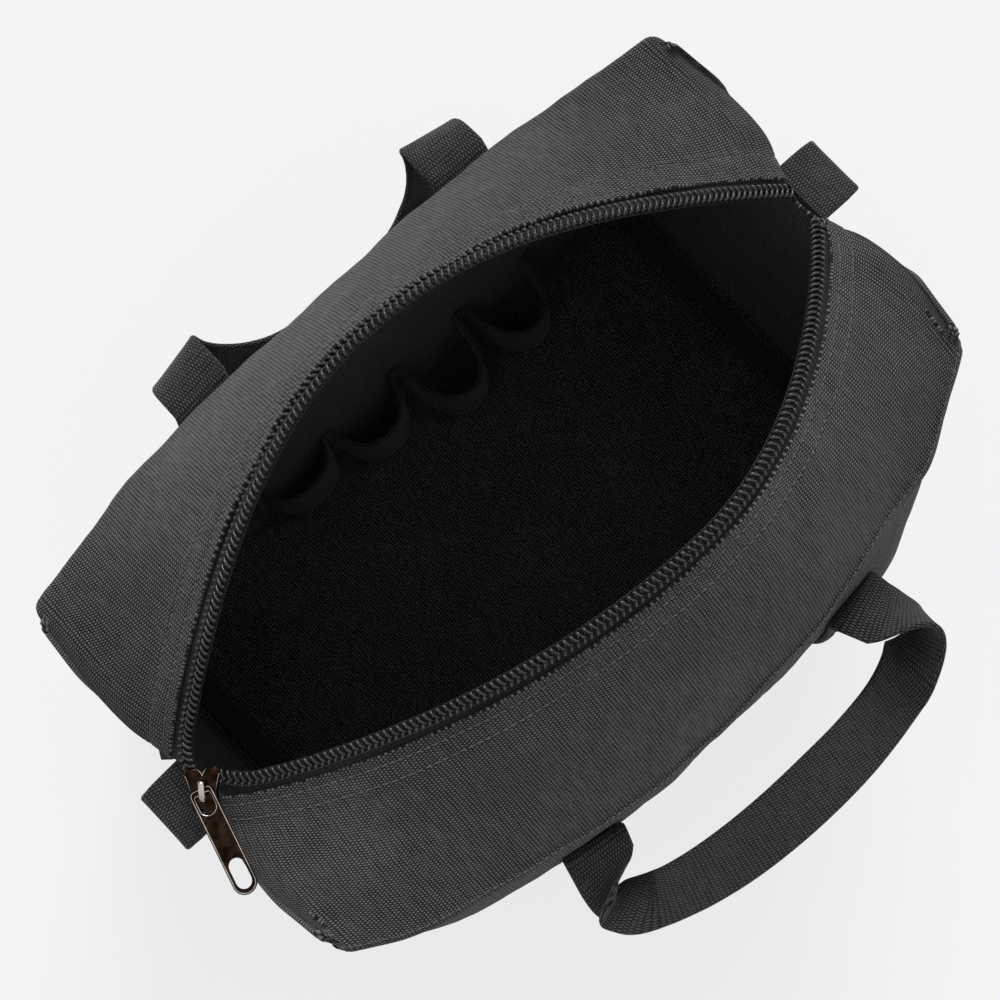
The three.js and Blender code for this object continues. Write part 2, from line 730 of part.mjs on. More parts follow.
const rearHalfRoute = [
  { at: [-1, 0, 0], face: [0, 0, 1] },
  { at: [-1, 0.096, 0.016], face: [0, 0, 1] },
  { at: [-1, 0.192, 0.008], face: [0, 0.2, 1] },
  { at: [-1, 0.256, -0.032], face: [0, 0.75, 0.7] },
  { at: [-0.99, 0.28, -0.112], face: [0, 1, 0.15] },
  { at: [-0.95, 0.28, -0.216], face: [0, 1, 0] },
  { at: [-0.85, 0.256, -0.32], face: [0, 1, 0.1] },
  { at: [-0.68, 0.216, -0.384], face: [0, 1, 0.15] },
  { at: [-0.45, 0.176, -0.416], face: [0, 1, 0.15] },
  { at: [-0.2, 0.152, -0.432], face: [0, 1, 0.15] },
  { at: [0, 0.144, -0.435], face: [0, 1, 0.15] },
];
const mirrorX = ([x, out, rise]) => [-x, out, rise];
const rearRoute = [
  ...rearHalfRoute,
  ...rearHalfRoute.slice(0, -1).reverse().map(({ at, face }) => ({ at: mirrorX(at), face: mirrorX(face) })),
];

function handleGeometry(wall, route, shift) {
  const halfSpacing = strapSpacing / 2;
  const left = strapLine(wall, shift - halfSpacing).hinge;
  const right = strapLine(wall, shift + halfSpacing).hinge;
  const axis = left.clone().add(right).multiplyScalar(0.5);
  const vector = ([x, out, rise]) => new THREE.Vector3(x, wall.side * out, rise);
  const points = route.map(({ at }) => vector(at).multiplyScalar(halfSpacing));
  const faces = route.map(({ face }) => vector(face));
  const curve = new THREE.CatmullRomCurve3(points, false, 'centripetal');
  const perSpan = 2;
  const spans = route.length - 1;
  const path = [];
  const across = [];
  for (let k = 0; k <= spans * perSpan; k += 1) {
    const t = k / (spans * perSpan);
    const i = Math.min(Math.floor(t * spans), spans - 1);
    const face = faces[i].clone().normalize().lerp(faces[i + 1].clone().normalize(), t * spans - i);
    path.push(curve.getPoint(t));
    across.push(new THREE.Vector3().crossVectors(face, curve.getTangent(t)).normalize());
  }
  return { geometry: ribbon(path, across, webWidth, webThickness), axis };
}

// The elastic sewn inside the rear wall, standing off it in open loops
function elasticBand() {
  const lift = canvasThickness + seatGap + liningRelief + elasticThickness / 2;
  const path = [];
  const across = [];
  const steps = 9;
  const z = elasticBase + elasticWidth / 2;
  const put = (x, depth) => {
    const s = stationAt(x);
    const v = (z - bottomRadius) / (wallTop(rearWall, x) - bottomRadius);
    const point = wallPoint(rearWall, station(s), v).addScaledVector(wallNormal(rearWall, s, v), -lift);
    const rise = wallPoint(rearWall, station(s), v + 0.02).sub(wallPoint(rearWall, station(s), v - 0.02));
    point.y -= depth;
    path.push(point);
    across.push(rise.normalize());
  };
  loopDepths.forEach((depth, k) => {
    const start = elasticStart + k * loopPitch + loopFlat / 2;
    const end = elasticStart + (k + 1) * loopPitch - loopFlat / 2;
    put(start - loopFlat, 0);
    for (let i = 0; i <= steps; i += 1) {
      const f = i / steps;
      const along = f - loopLean * Math.sin(2 * Math.PI * f);
      put(lerp(start, end, along), depth * Math.sin(Math.PI * f) ** loopFullness);
    }
  });
  put(elasticStart + loopDepths.length * loopPitch + loopFlat / 2, 0);
  return ribbon(path, across, elasticWidth, elasticThickness, false);
}

// The plan of a slider plate, wide and notched at its front, narrow at its rear
function sliderPlan() {
  const front = sliderLength / 2;
  const wide = sliderFrontWidth / 2;
  const narrow = sliderRearWidth / 2;
  const plan = new THREE.Shape();
  plan.moveTo(-front + 1, -narrow);
  plan.lineTo(-0.5, -narrow);
  plan.quadraticCurveTo(front - 5, -narrow - 0.2, front - sliderCorner, -wide);
  plan.quadraticCurveTo(front, -wide, front, sliderCorner - wide);
  plan.lineTo(front, -sliderWedge);
  plan.quadraticCurveTo(front - sliderNotch, 0, front, sliderWedge);
  plan.lineTo(front, wide - sliderCorner);
  plan.quadraticCurveTo(front, wide, front - sliderCorner, wide);
  plan.quadraticCurveTo(front - 5, narrow + 0.2, -0.5, narrow);
  plan.lineTo(-front + 1, narrow);
  plan.quadraticCurveTo(-front, narrow, -front, narrow - 1);
  plan.lineTo(-front, 1 - narrow);
  plan.quadraticCurveTo(-front, -narrow, -front + 1, -narrow);
  return plan;
}

// The slider: two plates on a wedge, rims that hold the teeth, and an arched crown
function sliderGeometry() {
  const half = sliderChannel / 2;
  const plate = (z) => solid(new THREE.ExtrudeGeometry(sliderPlan(),
    { depth: sliderPlate, bevelEnabled: false, curveSegments: 4 }).translate(0, 0, z));
  let body = plate(half).add(plate(-half - sliderPlate));
  const wedge = new THREE.CylinderGeometry(sliderWedge, sliderWedge, sliderChannel + 1, 10);
  wedge.rotateX(Math.PI / 2);
  wedge.translate(sliderLength / 2 - sliderNotch - sliderWedge, 0, 0);
  body = body.add(solid(wedge));
  const rimHeight = half - sliderSlot / 2 + sliderPlate / 2;
  for (const side of [-1, 1]) {
    for (const level of [-1, 1]) {
      const rim = new THREE.BoxGeometry(sliderLength / 2 - 0.5, sliderFlange, rimHeight);
      rim.translate(-sliderLength / 4 - 0.5, side * (sliderRearWidth - sliderFlange) / 2,
        level * (sliderSlot / 2 + rimHeight / 2));
      body = body.add(solid(rim));
    }
  }
  const arch = new THREE.Shape();
  const reach = crownLength / 2;
  const foot = half + sliderPlate - 0.5;
  const top = half + sliderPlate + crownOpening + crownBar;
  arch.moveTo(-reach, foot);
  arch.lineTo(reach, foot);
  arch.bezierCurveTo(reach, top - 1, reach - 1.2, top, reach - 3, top);
  arch.lineTo(3 - reach, top);
  arch.bezierCurveTo(1.2 - reach, top, -reach, top - 1, -reach, foot);
  const opening = new THREE.Path();
  const inside = reach - crownBar;
  const sill = half + sliderPlate;
  opening.moveTo(-inside, sill);
  opening.bezierCurveTo(-inside, sill + crownOpening - 0.6, 0.9 - inside, sill + crownOpening,
    2 - inside, sill + crownOpening);
  opening.lineTo(inside - 2, sill + crownOpening);
  opening.bezierCurveTo(inside - 0.9, sill + crownOpening, inside, sill + crownOpening - 0.6, inside, sill);
  arch.holes.push(opening);
  const extrusion = { depth: crownWidth, bevelEnabled: false, curveSegments: 5 };
  const crown = new THREE.ExtrudeGeometry(arch, extrusion);
  crown.translate(0, 0, -crownWidth / 2);
  crown.rotateX(Math.PI / 2);
  return geometryOf(body.add(solid(crown)));
}

// The puller: a flat bar with a window round the crown and a long hole in its free end
function pullerGeometry() {
  const half = pullerWidth / 2;
  const head = pullerHead / 2;
  const tail = pullerLength - head;
  const outline = new THREE.Shape();
  outline.moveTo(head, 2 - half);
  outline.quadraticCurveTo(head, -half, head - 2, -half);
  outline.lineTo(half - tail, -half);
  outline.absarc(half - tail, 0, half, -Math.PI / 2, Math.PI / 2, true);
  outline.lineTo(head - 2, half);
  outline.quadraticCurveTo(head, half, head, half - 2);
  outline.closePath();
  const window = new THREE.Path();
  const rail = half - pullerRail;
  window.moveTo(-head, -rail);
  window.lineTo(-head, rail);
  window.lineTo(rail - head - pullerWindow, rail);
  window.absarc(rail - head - pullerWindow, 0, rail, Math.PI / 2, 1.5 * Math.PI, false);
  window.closePath();
  const hole = new THREE.Path();
  const r = pullerHoleWidth / 2;
  const far = pullerTail + r - tail;
  const near = far + pullerHoleLength - pullerHoleWidth;
  hole.absarc(near, 0, r, -Math.PI / 2, Math.PI / 2, false);
  hole.absarc(far, 0, r, Math.PI / 2, 1.5 * Math.PI, false);
  hole.closePath();
  outline.holes.push(window, hole);
  const extrusion = { depth: pullerThickness, bevelEnabled: false, curveSegments: 6 };
  const bar = new THREE.ExtrudeGeometry(outline, extrusion);
  return bar.translate(0, 0, -pullerThickness / 2);
}

// Body of the bag
add('bottom_panel', basePanel(), canvasFinish);
add('front_panel', longPanel(frontWall), canvasFinish);
add('rear_panel', longPanel(rearWall), canvasFinish);
add('end_panel_left', endPanel(-1), canvasFinish);
add('end_panel_right', endPanel(1), canvasFinish);
add('top_flap_front', flapPanel(frontWall), canvasFinish);
add('top_flap_rear', flapPanel(rearWall), canvasFinish);
add('seam_ridge_front', seamRidge(frontWall), canvasFinish);
add('seam_ridge_rear', seamRidge(rearWall), canvasFinish);
add('seam_binding_left', seamBinding(-1), tapeFinish);
add('seam_binding_right', seamBinding(1), tapeFinish);
add('elastic_band', elasticBand(), elasticFinish);

// Zip
add('zipper_tape_front', zipTape(frontWall), tapeFinish);
add('zipper_tape_rear', zipTape(rearWall), tapeFinish);
add('zipper_teeth_front', zipCoil(frontWall), nylonFinish);
add('zipper_teeth_rear', zipCoil(rearWall), nylonFinish);

// Slider and puller, turned sideways as they lie on the end of the zip
const sliderGroup = new THREE.Group();
const sliderHeight = bagHeight - endDip + sliderRise + sliderPlate + sliderChannel / 2;
sliderGroup.position.set(-halfLength, sliderShift, sliderHeight);
sliderGroup.rotation.z = radians(sliderYaw);
bag.add(sliderGroup);
add('slider', sliderGeometry(), metalFinish, sliderGroup);
const pullerGroup = new THREE.Group();
pullerGroup.position.set(pullerPlace.x, pullerPlace.y, sliderChannel / 2 + sliderPlate + crownOpening / 2);
pullerGroup.rotation.set(0, radians(pullerLift), radians(pullerTurn), 'ZYX');
sliderGroup.add(pullerGroup);
add('zipper_puller', pullerGeometry(), metalFinish, pullerGroup);

// Webbing
add('end_tab_left', endTab(-1, tabDroop.left, tabShift.left), webFinish);
add('end_tab_right', endTab(1, tabDroop.right, tabShift.right), webFinish);
for (const wall of walls) {
  const place = wall === frontWall ? 'front' : 'rear';
  const shift = wall === frontWall ? 0 : rearStrapShift;
  for (const hand of [-1, 1]) {
    const side = hand < 0 ? 'left' : 'right';
    add(`handle_strap_${place}_${side}`, wallStrap(wall, shift + hand * strapSpacing / 2), webFinish);
  }
  const handleGroup = new THREE.Group();
  const { geometry, axis } = handleGeometry(wall, wall === frontWall ? frontRoute : rearRoute, shift);
  handleGroup.position.copy(axis);
  bag.add(handleGroup);
  add(`${place}_handle`, geometry, webFinish, handleGroup);
}

export default bag;
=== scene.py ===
import json
import logging
import math
from dataclasses import dataclass, field
from enum import Enum
from functools import partial
from typing import Callable

import bmesh
import bpy
import numpy as np
from mathutils import Matrix


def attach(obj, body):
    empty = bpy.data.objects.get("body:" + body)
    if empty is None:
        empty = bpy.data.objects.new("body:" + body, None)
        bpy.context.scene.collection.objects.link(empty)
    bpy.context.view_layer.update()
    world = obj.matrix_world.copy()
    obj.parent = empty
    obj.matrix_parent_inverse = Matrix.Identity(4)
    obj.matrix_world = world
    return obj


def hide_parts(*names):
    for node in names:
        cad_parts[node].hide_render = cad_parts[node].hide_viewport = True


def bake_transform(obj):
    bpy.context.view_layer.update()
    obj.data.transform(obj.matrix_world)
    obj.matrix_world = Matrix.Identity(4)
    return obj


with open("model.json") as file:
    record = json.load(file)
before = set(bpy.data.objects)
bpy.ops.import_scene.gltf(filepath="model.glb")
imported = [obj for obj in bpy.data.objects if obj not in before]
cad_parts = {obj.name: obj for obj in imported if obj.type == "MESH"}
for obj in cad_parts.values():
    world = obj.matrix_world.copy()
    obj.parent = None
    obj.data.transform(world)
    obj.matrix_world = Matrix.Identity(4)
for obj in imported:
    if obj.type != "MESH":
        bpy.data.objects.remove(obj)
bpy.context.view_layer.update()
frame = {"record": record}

MM = 0.001
Grid = np.ndarray
Surface = Callable[[Grid, Grid], Grid]
Colour = tuple[float, float, float]
Socket = bpy.types.NodeSocket
LINT_COLOUR = (0.35, 0.35, 0.36, 1)
NUDGE = 0.004  # the small step in a surface's parameters that finds its directions
log = logging.getLogger("tool_bag")


class Body(Enum):
    """The moving bodies that pieces ride on."""

    BAG = "bag"
    SLIDER = "zip_slider"
    PULLER = "puller"
    FRONT_HANDLE = "handle_front"
    REAR_HANDLE = "handle_rear"


# Shader parts and finishes


class Graph:
    """Adds nodes to a node tree and wires them."""

    def __init__(self, tree: bpy.types.NodeTree) -> None:
        """Keeps the tree.

        Args:
            tree: the node tree to build in.
        """
        self.tree = tree

    def add(self, kind: str, inputs: dict | None = None, **settings: object) -> bpy.types.Node:
        """Adds one node.

        Args:
            kind: the node's type name.
            inputs: values or sockets by input name or number.
            settings: the node's own properties.

        Returns:
            The new node.
        """
        node = self.tree.nodes.new(kind)
        for key, value in settings.items():
            setattr(node, key, value)
        for key, value in (inputs or {}).items():
            if isinstance(value, Socket):
                self.tree.links.new(value, node.inputs[key])
            else:
                node.inputs[key].default_value = value
        return node

    def maths(self, operation: str, *values: object) -> Socket:
        """Adds a Math node on sockets or numbers and returns its output."""
        return self.add("ShaderNodeMath", dict(enumerate(values)), operation=operation).outputs[0]

    def vectors(self, operation: str, *values: object) -> Socket:
        """Adds a Vector Math node on sockets or vectors and returns its output."""
        return self.add("ShaderNodeVectorMath", dict(enumerate(values)), operation=operation).outputs[0]

    def blend(self, share: object, low: object, high: object) -> Socket:
        """Mixes two colours by a share and returns the mix."""
        return self.add("ShaderNodeMix", {0: share, 6: low, 7: high}, data_type="RGBA").outputs[2]

    def noise(self, vector: Socket, scale: float, detail: float = 2.0) -> bpy.types.Node:
        """Adds a noise texture and returns its node."""
        return self.add("ShaderNodeTexNoise", {"Vector": vector, "Scale": scale, "Detail": detail})


def new_material(name: str) -> tuple[bpy.types.Material, Graph]:
    """Makes an empty material.

    Args:
        name: the material's name.

    Returns:
        The material and a graph to fill it.
    """
    material = bpy.data.materials.new(name)
    material.use_nodes = True
    material.node_tree.nodes.clear()
    return material, Graph(material.node_tree)


def shader_group(name: str, inputs: dict[str, float | None],
                 outputs: list[str]) -> tuple[bpy.types.NodeTree, Graph]:
    """Makes an empty shader node group with named sockets.

    Args:
        name: the group's name.
        inputs: socket names with a default number, or None for a vector.
        outputs: names of the number outputs.

    Returns:
        The group and a graph to fill it.
    """
    tree = bpy.data.node_groups.new(name, "ShaderNodeTree")
    for label, value in inputs.items():
        kind = "NodeSocketVector" if value is None else "NodeSocketFloat"
        socket = tree.interface.new_socket(label, in_out="INPUT", socket_type=kind)
        if value is not None:
            socket.default_value = value
    for label in outputs:
        tree.interface.new_socket(label, in_out="OUTPUT", socket_type="NodeSocketFloat")
    return tree, Graph(tree)


def weave_group() -> bpy.types.NodeTree:
    """Threads that cross at right angles on a UV map in metres.

    The height is a cosine rib across, plus the product of a cosine at half the rib's rate and a cosine
    along, which breaks each rib into short dashes and moves them half a step from rib to rib. A noise
    shifts the map a little, so that the threads wander, and another one swells single threads.

    Returns:
        The group, with outputs Height and Slub, both from 0 to 1.
    """
    inputs = {"Map": None, "Across": 1.2, "Along": 0.8, "Wander": 0.1, "Rib": 0.5}
    tree, graph = shader_group("woven_threads", inputs, ["Height", "Slub"])
    given = graph.add("NodeGroupInput").outputs
    in_mm = graph.vectors("MULTIPLY", given["Map"], (1 / MM, 1 / MM, 1 / MM))
    drift = graph.noise(in_mm, 0.35).outputs["Color"]
    centred = graph.vectors("SUBTRACT", drift, (0.5, 0.5, 0.5))
    scaled = graph.add("ShaderNodeVectorMath", {0: centred, "Scale": given["Wander"]}, operation="SCALE")
    moved = graph.vectors("ADD", in_mm, scaled.outputs[0])
    parts = graph.add("ShaderNodeSeparateXYZ", {0: moved}).outputs
    turn_u = graph.maths("MULTIPLY", graph.maths("DIVIDE", parts[0], given["Across"]), math.tau)
    turn_v = graph.maths("MULTIPLY", graph.maths("DIVIDE", parts[1], given["Along"]), math.tau)
    ribs = graph.maths("MULTIPLY", graph.maths("COSINE", turn_u), given["Rib"])
    side = graph.maths("COSINE", graph.maths("MULTIPLY", turn_u, 0.5))
    dashes = graph.maths("MULTIPLY", side, graph.maths("COSINE", turn_v))
    total = graph.maths("MULTIPLY_ADD", dashes, graph.maths("SUBTRACT", 1.0, given["Rib"]), ribs)
    height = graph.maths("MULTIPLY_ADD", total, 0.5, 0.5)
    slub = graph.noise(graph.vectors("MULTIPLY", moved, (0.9, 0.12, 1)), 1.0, 3.0)
    graph.add("NodeGroupOutput", {"Height": height, "Slub": slub.outputs[0]})
    return tree


def ageing_group() -> bpy.types.NodeTree:
    """Slow changes of shade and fine lint over a cloth, from object coordinates.

    Returns:
        The group, with outputs Shade, around one half, and Lint, a sparse mask.
    """
    tree, graph = shader_group("cloth_ageing", {"Place": None}, ["Shade", "Lint"])
    given = graph.add("NodeGroupInput").outputs
    broad = graph.noise(given["Place"], 25.0, 4.0)
    fine = graph.noise(given["Place"], 900.0, 2.0)
    lint = graph.add("ShaderNodeMapRange", {"Value": fine.outputs[0], "From Min": 0.66, "From Max": 0.78})
    graph.add("NodeGroupOutput", {"Shade": broad.outputs[0], "Lint": lint.outputs[0]})
    return tree


def handling_group() -> bpy.types.NodeTree:
    """Fine rubbing marks on metal and moulded parts, from object coordinates.

    Returns:
        The group, with outputs Rub, a streaky mask, and Grain, a fine height.
    """
    tree, graph = shader_group("handling_marks", {"Place": None}, ["Rub", "Grain"])
    given = graph.add("NodeGroupInput").outputs
    rub = graph.noise(graph.vectors("MULTIPLY", given["Place"], (1, 1, 6)), 260.0, 5.0)
    grain = graph.noise(given["Place"], 900.0, 1.0)
    graph.add("NodeGroupOutput", {"Rub": rub.outputs[0], "Grain": grain.outputs[0]})
    return tree


@dataclass(frozen=True)
class ClothFinish:
    """A woven finish: a painted light colour for the thread tops and a painted shade colour for the gaps,
    its thread spacing in millimetres and its relief.
    """

    name: str
    slot: str
    # light is painted light on the thread tops, dark is painted shade in the gaps between threads
    light: Colour
    dark: Colour
    across: float
    along: float
    relief: float
    rib: float = 0.5
    wander: float = 0.25
    roughness: float = 0.92
    sheen: float = 0.12
    lint: float = 0.05
    contrast: float = 2.3
    darkness: float = 1.55
    shading: float = 0.5

    def material(self, weave: bpy.types.NodeTree, ageing: bpy.types.NodeTree) -> bpy.types.Material:
        """Builds the finish on UV maps in metres.

        The mix between the dark and the light colour paints shade between the threads and light on their
        tops:
        the threads' height times the contrast, plus the slubs and a share of the slow random shade, less the
        darkness.

        Args:
            weave: the shared thread group.
            ageing: the shared ageing group.

        Returns:
            The material.
        """
        material, graph = new_material(self.name)
        place = graph.add("ShaderNodeTexCoord").outputs
        threads = graph.add("ShaderNodeGroup", {
            "Map": place["UV"], "Across": self.across, "Along": self.along, "Wander": self.wander,
            "Rib": self.rib}, node_tree=weave).outputs
        aged = graph.add("ShaderNodeGroup", {"Place": place["Object"]}, node_tree=ageing).outputs
        # painted shade and light: the threads' height darkens the gaps and lightens the tops; the slubs and
        # the slow shade are random tone
        gap_shade_and_mottle = graph.maths("MULTIPLY_ADD", threads["Height"], self.contrast, -self.darkness)
        gap_shade_and_mottle = graph.maths("ADD", gap_shade_and_mottle, threads["Slub"])
        gap_shade_and_mottle = graph.maths("MULTIPLY_ADD", aged["Shade"], self.shading, gap_shade_and_mottle)
        gap_shade_and_mottle = graph.add("ShaderNodeClamp", {0: gap_shade_and_mottle}).outputs[0]
        colour = graph.blend(gap_shade_and_mottle, (*self.dark, 1), (*self.light, 1))
        colour = graph.blend(graph.maths("MULTIPLY", aged["Lint"], self.lint), colour, LINT_COLOUR)
        height = graph.maths("MULTIPLY_ADD", threads["Slub"], 0.35, threads["Height"])
        bump = graph.add("ShaderNodeBump", {"Height": height, "Distance": self.relief * MM, "Strength": 1.0})
        shader = graph.add("ShaderNodeBsdfPrincipled", {
            "Base Color": colour, "Normal": bump.outputs[0], "Roughness": self.roughness,
            "Sheen Weight": self.sheen, "Sheen Roughness": 0.5, "Specular IOR Level": 0.25})
        graph.add("ShaderNodeOutputMaterial", {0: shader.outputs[0]})
        return material


@dataclass(frozen=True)
class HardFinish:
    """A metal or moulded finish with fine handling marks."""

    name: str
    slot: str
    colour: Colour
    worn: Colour
    metallic: float
    roughness: float
    relief: float = 0.004

    def material(self, handling: bpy.types.NodeTree) -> bpy.types.Material:
        """Builds the finish on object coordinates.

        Args:
            handling: the shared group of handling marks.

        Returns:
            The material.
        """
        material, graph = new_material(self.name)
        place = graph.add("ShaderNodeTexCoord").outputs["Object"]
        marks = graph.add("ShaderNodeGroup", {"Place": place}, node_tree=handling)
        rub = graph.add("ShaderNodeMapRange", {
            "Value": marks.outputs["Rub"], "From Min": 0.4, "From Max": 0.7})
        colour = graph.blend(rub.outputs[0], (*self.colour, 1), (*self.worn, 1))
        rough = graph.maths("MULTIPLY_ADD", rub.outputs[0], 0.12, self.roughness)
        bump = graph.add("ShaderNodeBump", {"Height": marks.outputs["Grain"], "Distance": self.relief * MM,
                                            "Strength": 0.6})
        shader = graph.add("ShaderNodeBsdfPrincipled", {
            "Base Color": colour, "Roughness": rough, "Metallic": self.metallic, "Normal": bump.outputs[0]})
        graph.add("ShaderNodeOutputMaterial", {0: shader.outputs[0]})
        return material


def grey(value: float) -> Colour:
    """A colour without a hue."""
    return (value, value, value)


# each cloth's second colour is painted shade in the gaps between its threads
CANVAS = ClothFinish("charcoal_canvas", "canvas", grey(0.155), grey(0.003), across=1.27, along=1.0,
                     relief=0.46, rib=0.28, wander=0.5)
WEBBING = ClothFinish("black_webbing", "webbing", grey(0.085), grey(0.002), across=1.6, along=1.15,
                      relief=0.4, rib=0.2, wander=0.9)
TAPE = ClothFinish("zip_tape_cloth", "woven_tape", grey(0.045), grey(0.002), across=0.7, along=0.9,
                   relief=0.12)
BINDING = ClothFinish("binding_tape", "woven_tape", grey(0.045), grey(0.012), across=0.9, along=1.1,
                      relief=0.15)
ELASTIC = ClothFinish("ribbed_elastic", "elastic", grey(0.05), grey(0.012), across=1.5, along=0.8,
                      relief=0.25, rib=0.8)
THREAD = HardFinish("sewing_thread", "canvas", grey(0.085), grey(0.12), metallic=0.0, roughness=0.7)
DARK_THREAD = HardFinish("dark_thread", "webbing", grey(0.03), grey(0.05), metallic=0.0, roughness=0.7)
COIL = HardFinish("black_coil", "nylon", grey(0.014), grey(0.04), metallic=0.0, roughness=0.18)
NICKEL = HardFinish("dark_nickel", "nickel", (0.009, 0.0045, 0.0028), (0.034, 0.02, 0.013),
                    metallic=1.0, roughness=0.12)
BRIGHT = HardFinish("bright_nickel", "nickel", (0.36, 0.32, 0.28), (0.74, 0.7, 0.66),
                    metallic=1.0, roughness=0.12)


class Wardrobe:
    """Every material, built once from the three shared groups."""

    def __init__(self) -> None:
        """Builds the groups and the materials."""
        weave, ageing, handling = weave_group(), ageing_group(), handling_group()
        self.made = {cloth.name: cloth.material(weave, ageing)
                     for cloth in (CANVAS, WEBBING, TAPE, BINDING, ELASTIC)}
        for hard in (THREAD, DARK_THREAD, COIL, NICKEL, BRIGHT):
            self.made[hard.name] = hard.material(handling)

    def clothe(self, piece: bpy.types.Object, finish: ClothFinish | HardFinish, *nodes: str) -> None:
        """Gives a piece its material.

        Args:
            piece: the new object.
            finish: its finish.
            nodes: the solids that it stands for.
        """
        piece.data.materials.append(self.made[finish.name])
        if nodes:
            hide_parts(*nodes)

    def dress(self, piece: bpy.types.Object, finish: ClothFinish | HardFinish, body: Body,
              *nodes: str) -> bpy.types.Object:
        """Gives a piece its material and its place in the frame.

        Args:
            piece: the new object.
            finish: its finish.
            body: the body that it rides on.
            nodes: the solids that it stands for.

        Returns:
            The piece.
        """
        self.clothe(piece, finish, *nodes)
        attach(piece, body.value)
        log.info("%s: %d faces on %s", piece.name, len(piece.data.polygons), body.value)
        return piece


# Surfaces and meshes


def unit(vectors: Grid) -> Grid:
    """Scales vectors to length one."""
    return vectors / np.maximum(np.linalg.norm(vectors, axis=-1, keepdims=True), 1e-9)


def smooth_step(low: float, high: float, value: Grid) -> Grid:
    """Rises from 0 at low to 1 at high along the curve 3t squared minus 2t cubed."""
    t = np.clip((value - low) / (high - low), 0, 1)
    return t * t * (3 - 2 * t)


def fade(distance: Grid, reach: float | Grid) -> Grid:
    """Falls straight from 1 at no distance to 0 at the reach."""
    return np.clip(1 - distance / reach, 0, 1)


def bell(value: Grid, centre: float | Grid, width: float) -> Grid:
    """A bell curve of height one round a centre."""
    return np.exp(-((value - centre) / width) ** 2)


def read_at(at: Grid, run: Grid, values: Grid) -> Grid:
    """Reads three columns of values, given along a run, at other distances."""
    return np.stack([np.interp(at, run, values[:, k]) for k in range(3)], axis=-1)


def run_along(path: Grid) -> Grid:
    """The distance run at each point of a path."""
    return np.concatenate([[0], np.cumsum(np.linalg.norm(np.diff(path, axis=0), axis=1))])


def quadratic(first: Grid, middle: Grid, last: Grid, t: Grid) -> Grid:
    """A quadratic curve from the first point to the last, drawn towards the middle one."""
    return (1 - t) ** 2 * first + 2 * t * (1 - t) * middle + t ** 2 * last


def signed_power(value: Grid, power: float) -> Grid:
    """A power of a value's size with the value's sign, which squares off or pinches a round curve."""
    return np.sign(value) * np.abs(value) ** power


def circle(sides: int) -> Grid:
    """The corners of a many-sided section of radius one."""
    turn = np.linspace(0, math.tau, sides + 1)[:-1]
    return np.stack([np.cos(turn), np.sin(turn)], axis=1)


def ripple(points: Grid, shortest: float, longest: float, seed: int, waves: int = 16) -> Grid:
    """A smooth uneven height: a sum of sine waves through space, in random directions.

    Args:
        points: places in millimetres, with three coordinates in the last axis.
        shortest: the shortest wavelength.
        longest: the longest wavelength.
        seed: starts the random draws.
        waves: how many waves are added.

    Returns:
        Heights of about one at most.
    """
    rng = np.random.default_rng(seed)
    ways = unit(rng.normal(size=(waves, 3)))
    lengths = shortest * (longest / shortest) ** rng.random(waves)
    phases = rng.random(waves) * math.tau
    turns = points @ (ways / lengths[:, None]).T * math.tau + phases
    return np.sin(turns).sum(axis=-1) / math.sqrt(waves * 2)


def grid_normals(points: Grid, outward: Grid) -> Grid:
    """The normals of a grid of points: the cross product of its two gradients.

    Args:
        points: the grid, columns by rows by three.
        outward: a direction, or one for each point, on the side where the normals point.

    Returns:
        Unit normals.
    """
    normals = unit(np.cross(np.gradient(points, axis=0), np.gradient(points, axis=1)))
    flip = np.sign((normals * outward).sum())
    return normals * flip


def make_object(name: str, points: Grid, faces: list, uv: Grid | None = None,
                sharp: float = 50.0) -> bpy.types.Object:
    """Makes an object at the origin from points in millimetres.

    Args:
        name: the object's name.
        points: an array of points.
        faces: arrays or lists of point numbers.
        uv: one map place in metres for each point.
        sharp: the angle in degrees above which an edge stays sharp.

    Returns:
        The object, its faces pointing outwards.
    """
    mesh = bpy.data.meshes.new(name)
    blocks = (block.tolist() if isinstance(block, np.ndarray) else block for block in faces)
    listed = [face for block in blocks for face in block]
    mesh.from_pydata((points * MM).tolist(), [], listed)
    if uv is not None:
        corners = np.empty(len(mesh.loops), dtype=np.int32)
        mesh.loops.foreach_get("vertex_index", corners)
        mesh.uv_layers.new(name="cloth_map").data.foreach_set("uv", uv[corners].astype(np.float32).ravel())
    mesh.validate()
    mesh.polygons.foreach_set("use_smooth", [True] * len(mesh.polygons))
    mesh.set_sharp_from_angle(angle=math.radians(sharp))
    made = bpy.data.objects.new(name, mesh)
    bpy.context.scene.collection.objects.link(made)
    return made


def outward_faces(points: Grid, faces: Grid) -> Grid:
    """Turns all faces over when the volume that they enclose comes out negative.

    Args:
        points: the points.
        faces: the faces' point numbers.

    Returns:
        The faces, turned outwards.
    """
    first, second, third = (points[faces[:, k]] for k in (0, 1, 2))
    last = points[faces[:, -1]]
    volume = (first * np.cross(second, third)).sum() + (first * np.cross(third, last)).sum()
    return faces[:, ::-1] if volume < 0 else faces


def strip_faces(numbers: Grid) -> Grid:
    """The quads between neighbouring rows and columns of a grid of point numbers."""
    return np.stack([numbers[:-1, :-1], numbers[1:, :-1], numbers[1:, 1:], numbers[:-1, 1:]],
                    axis=-1).reshape(-1, 4)


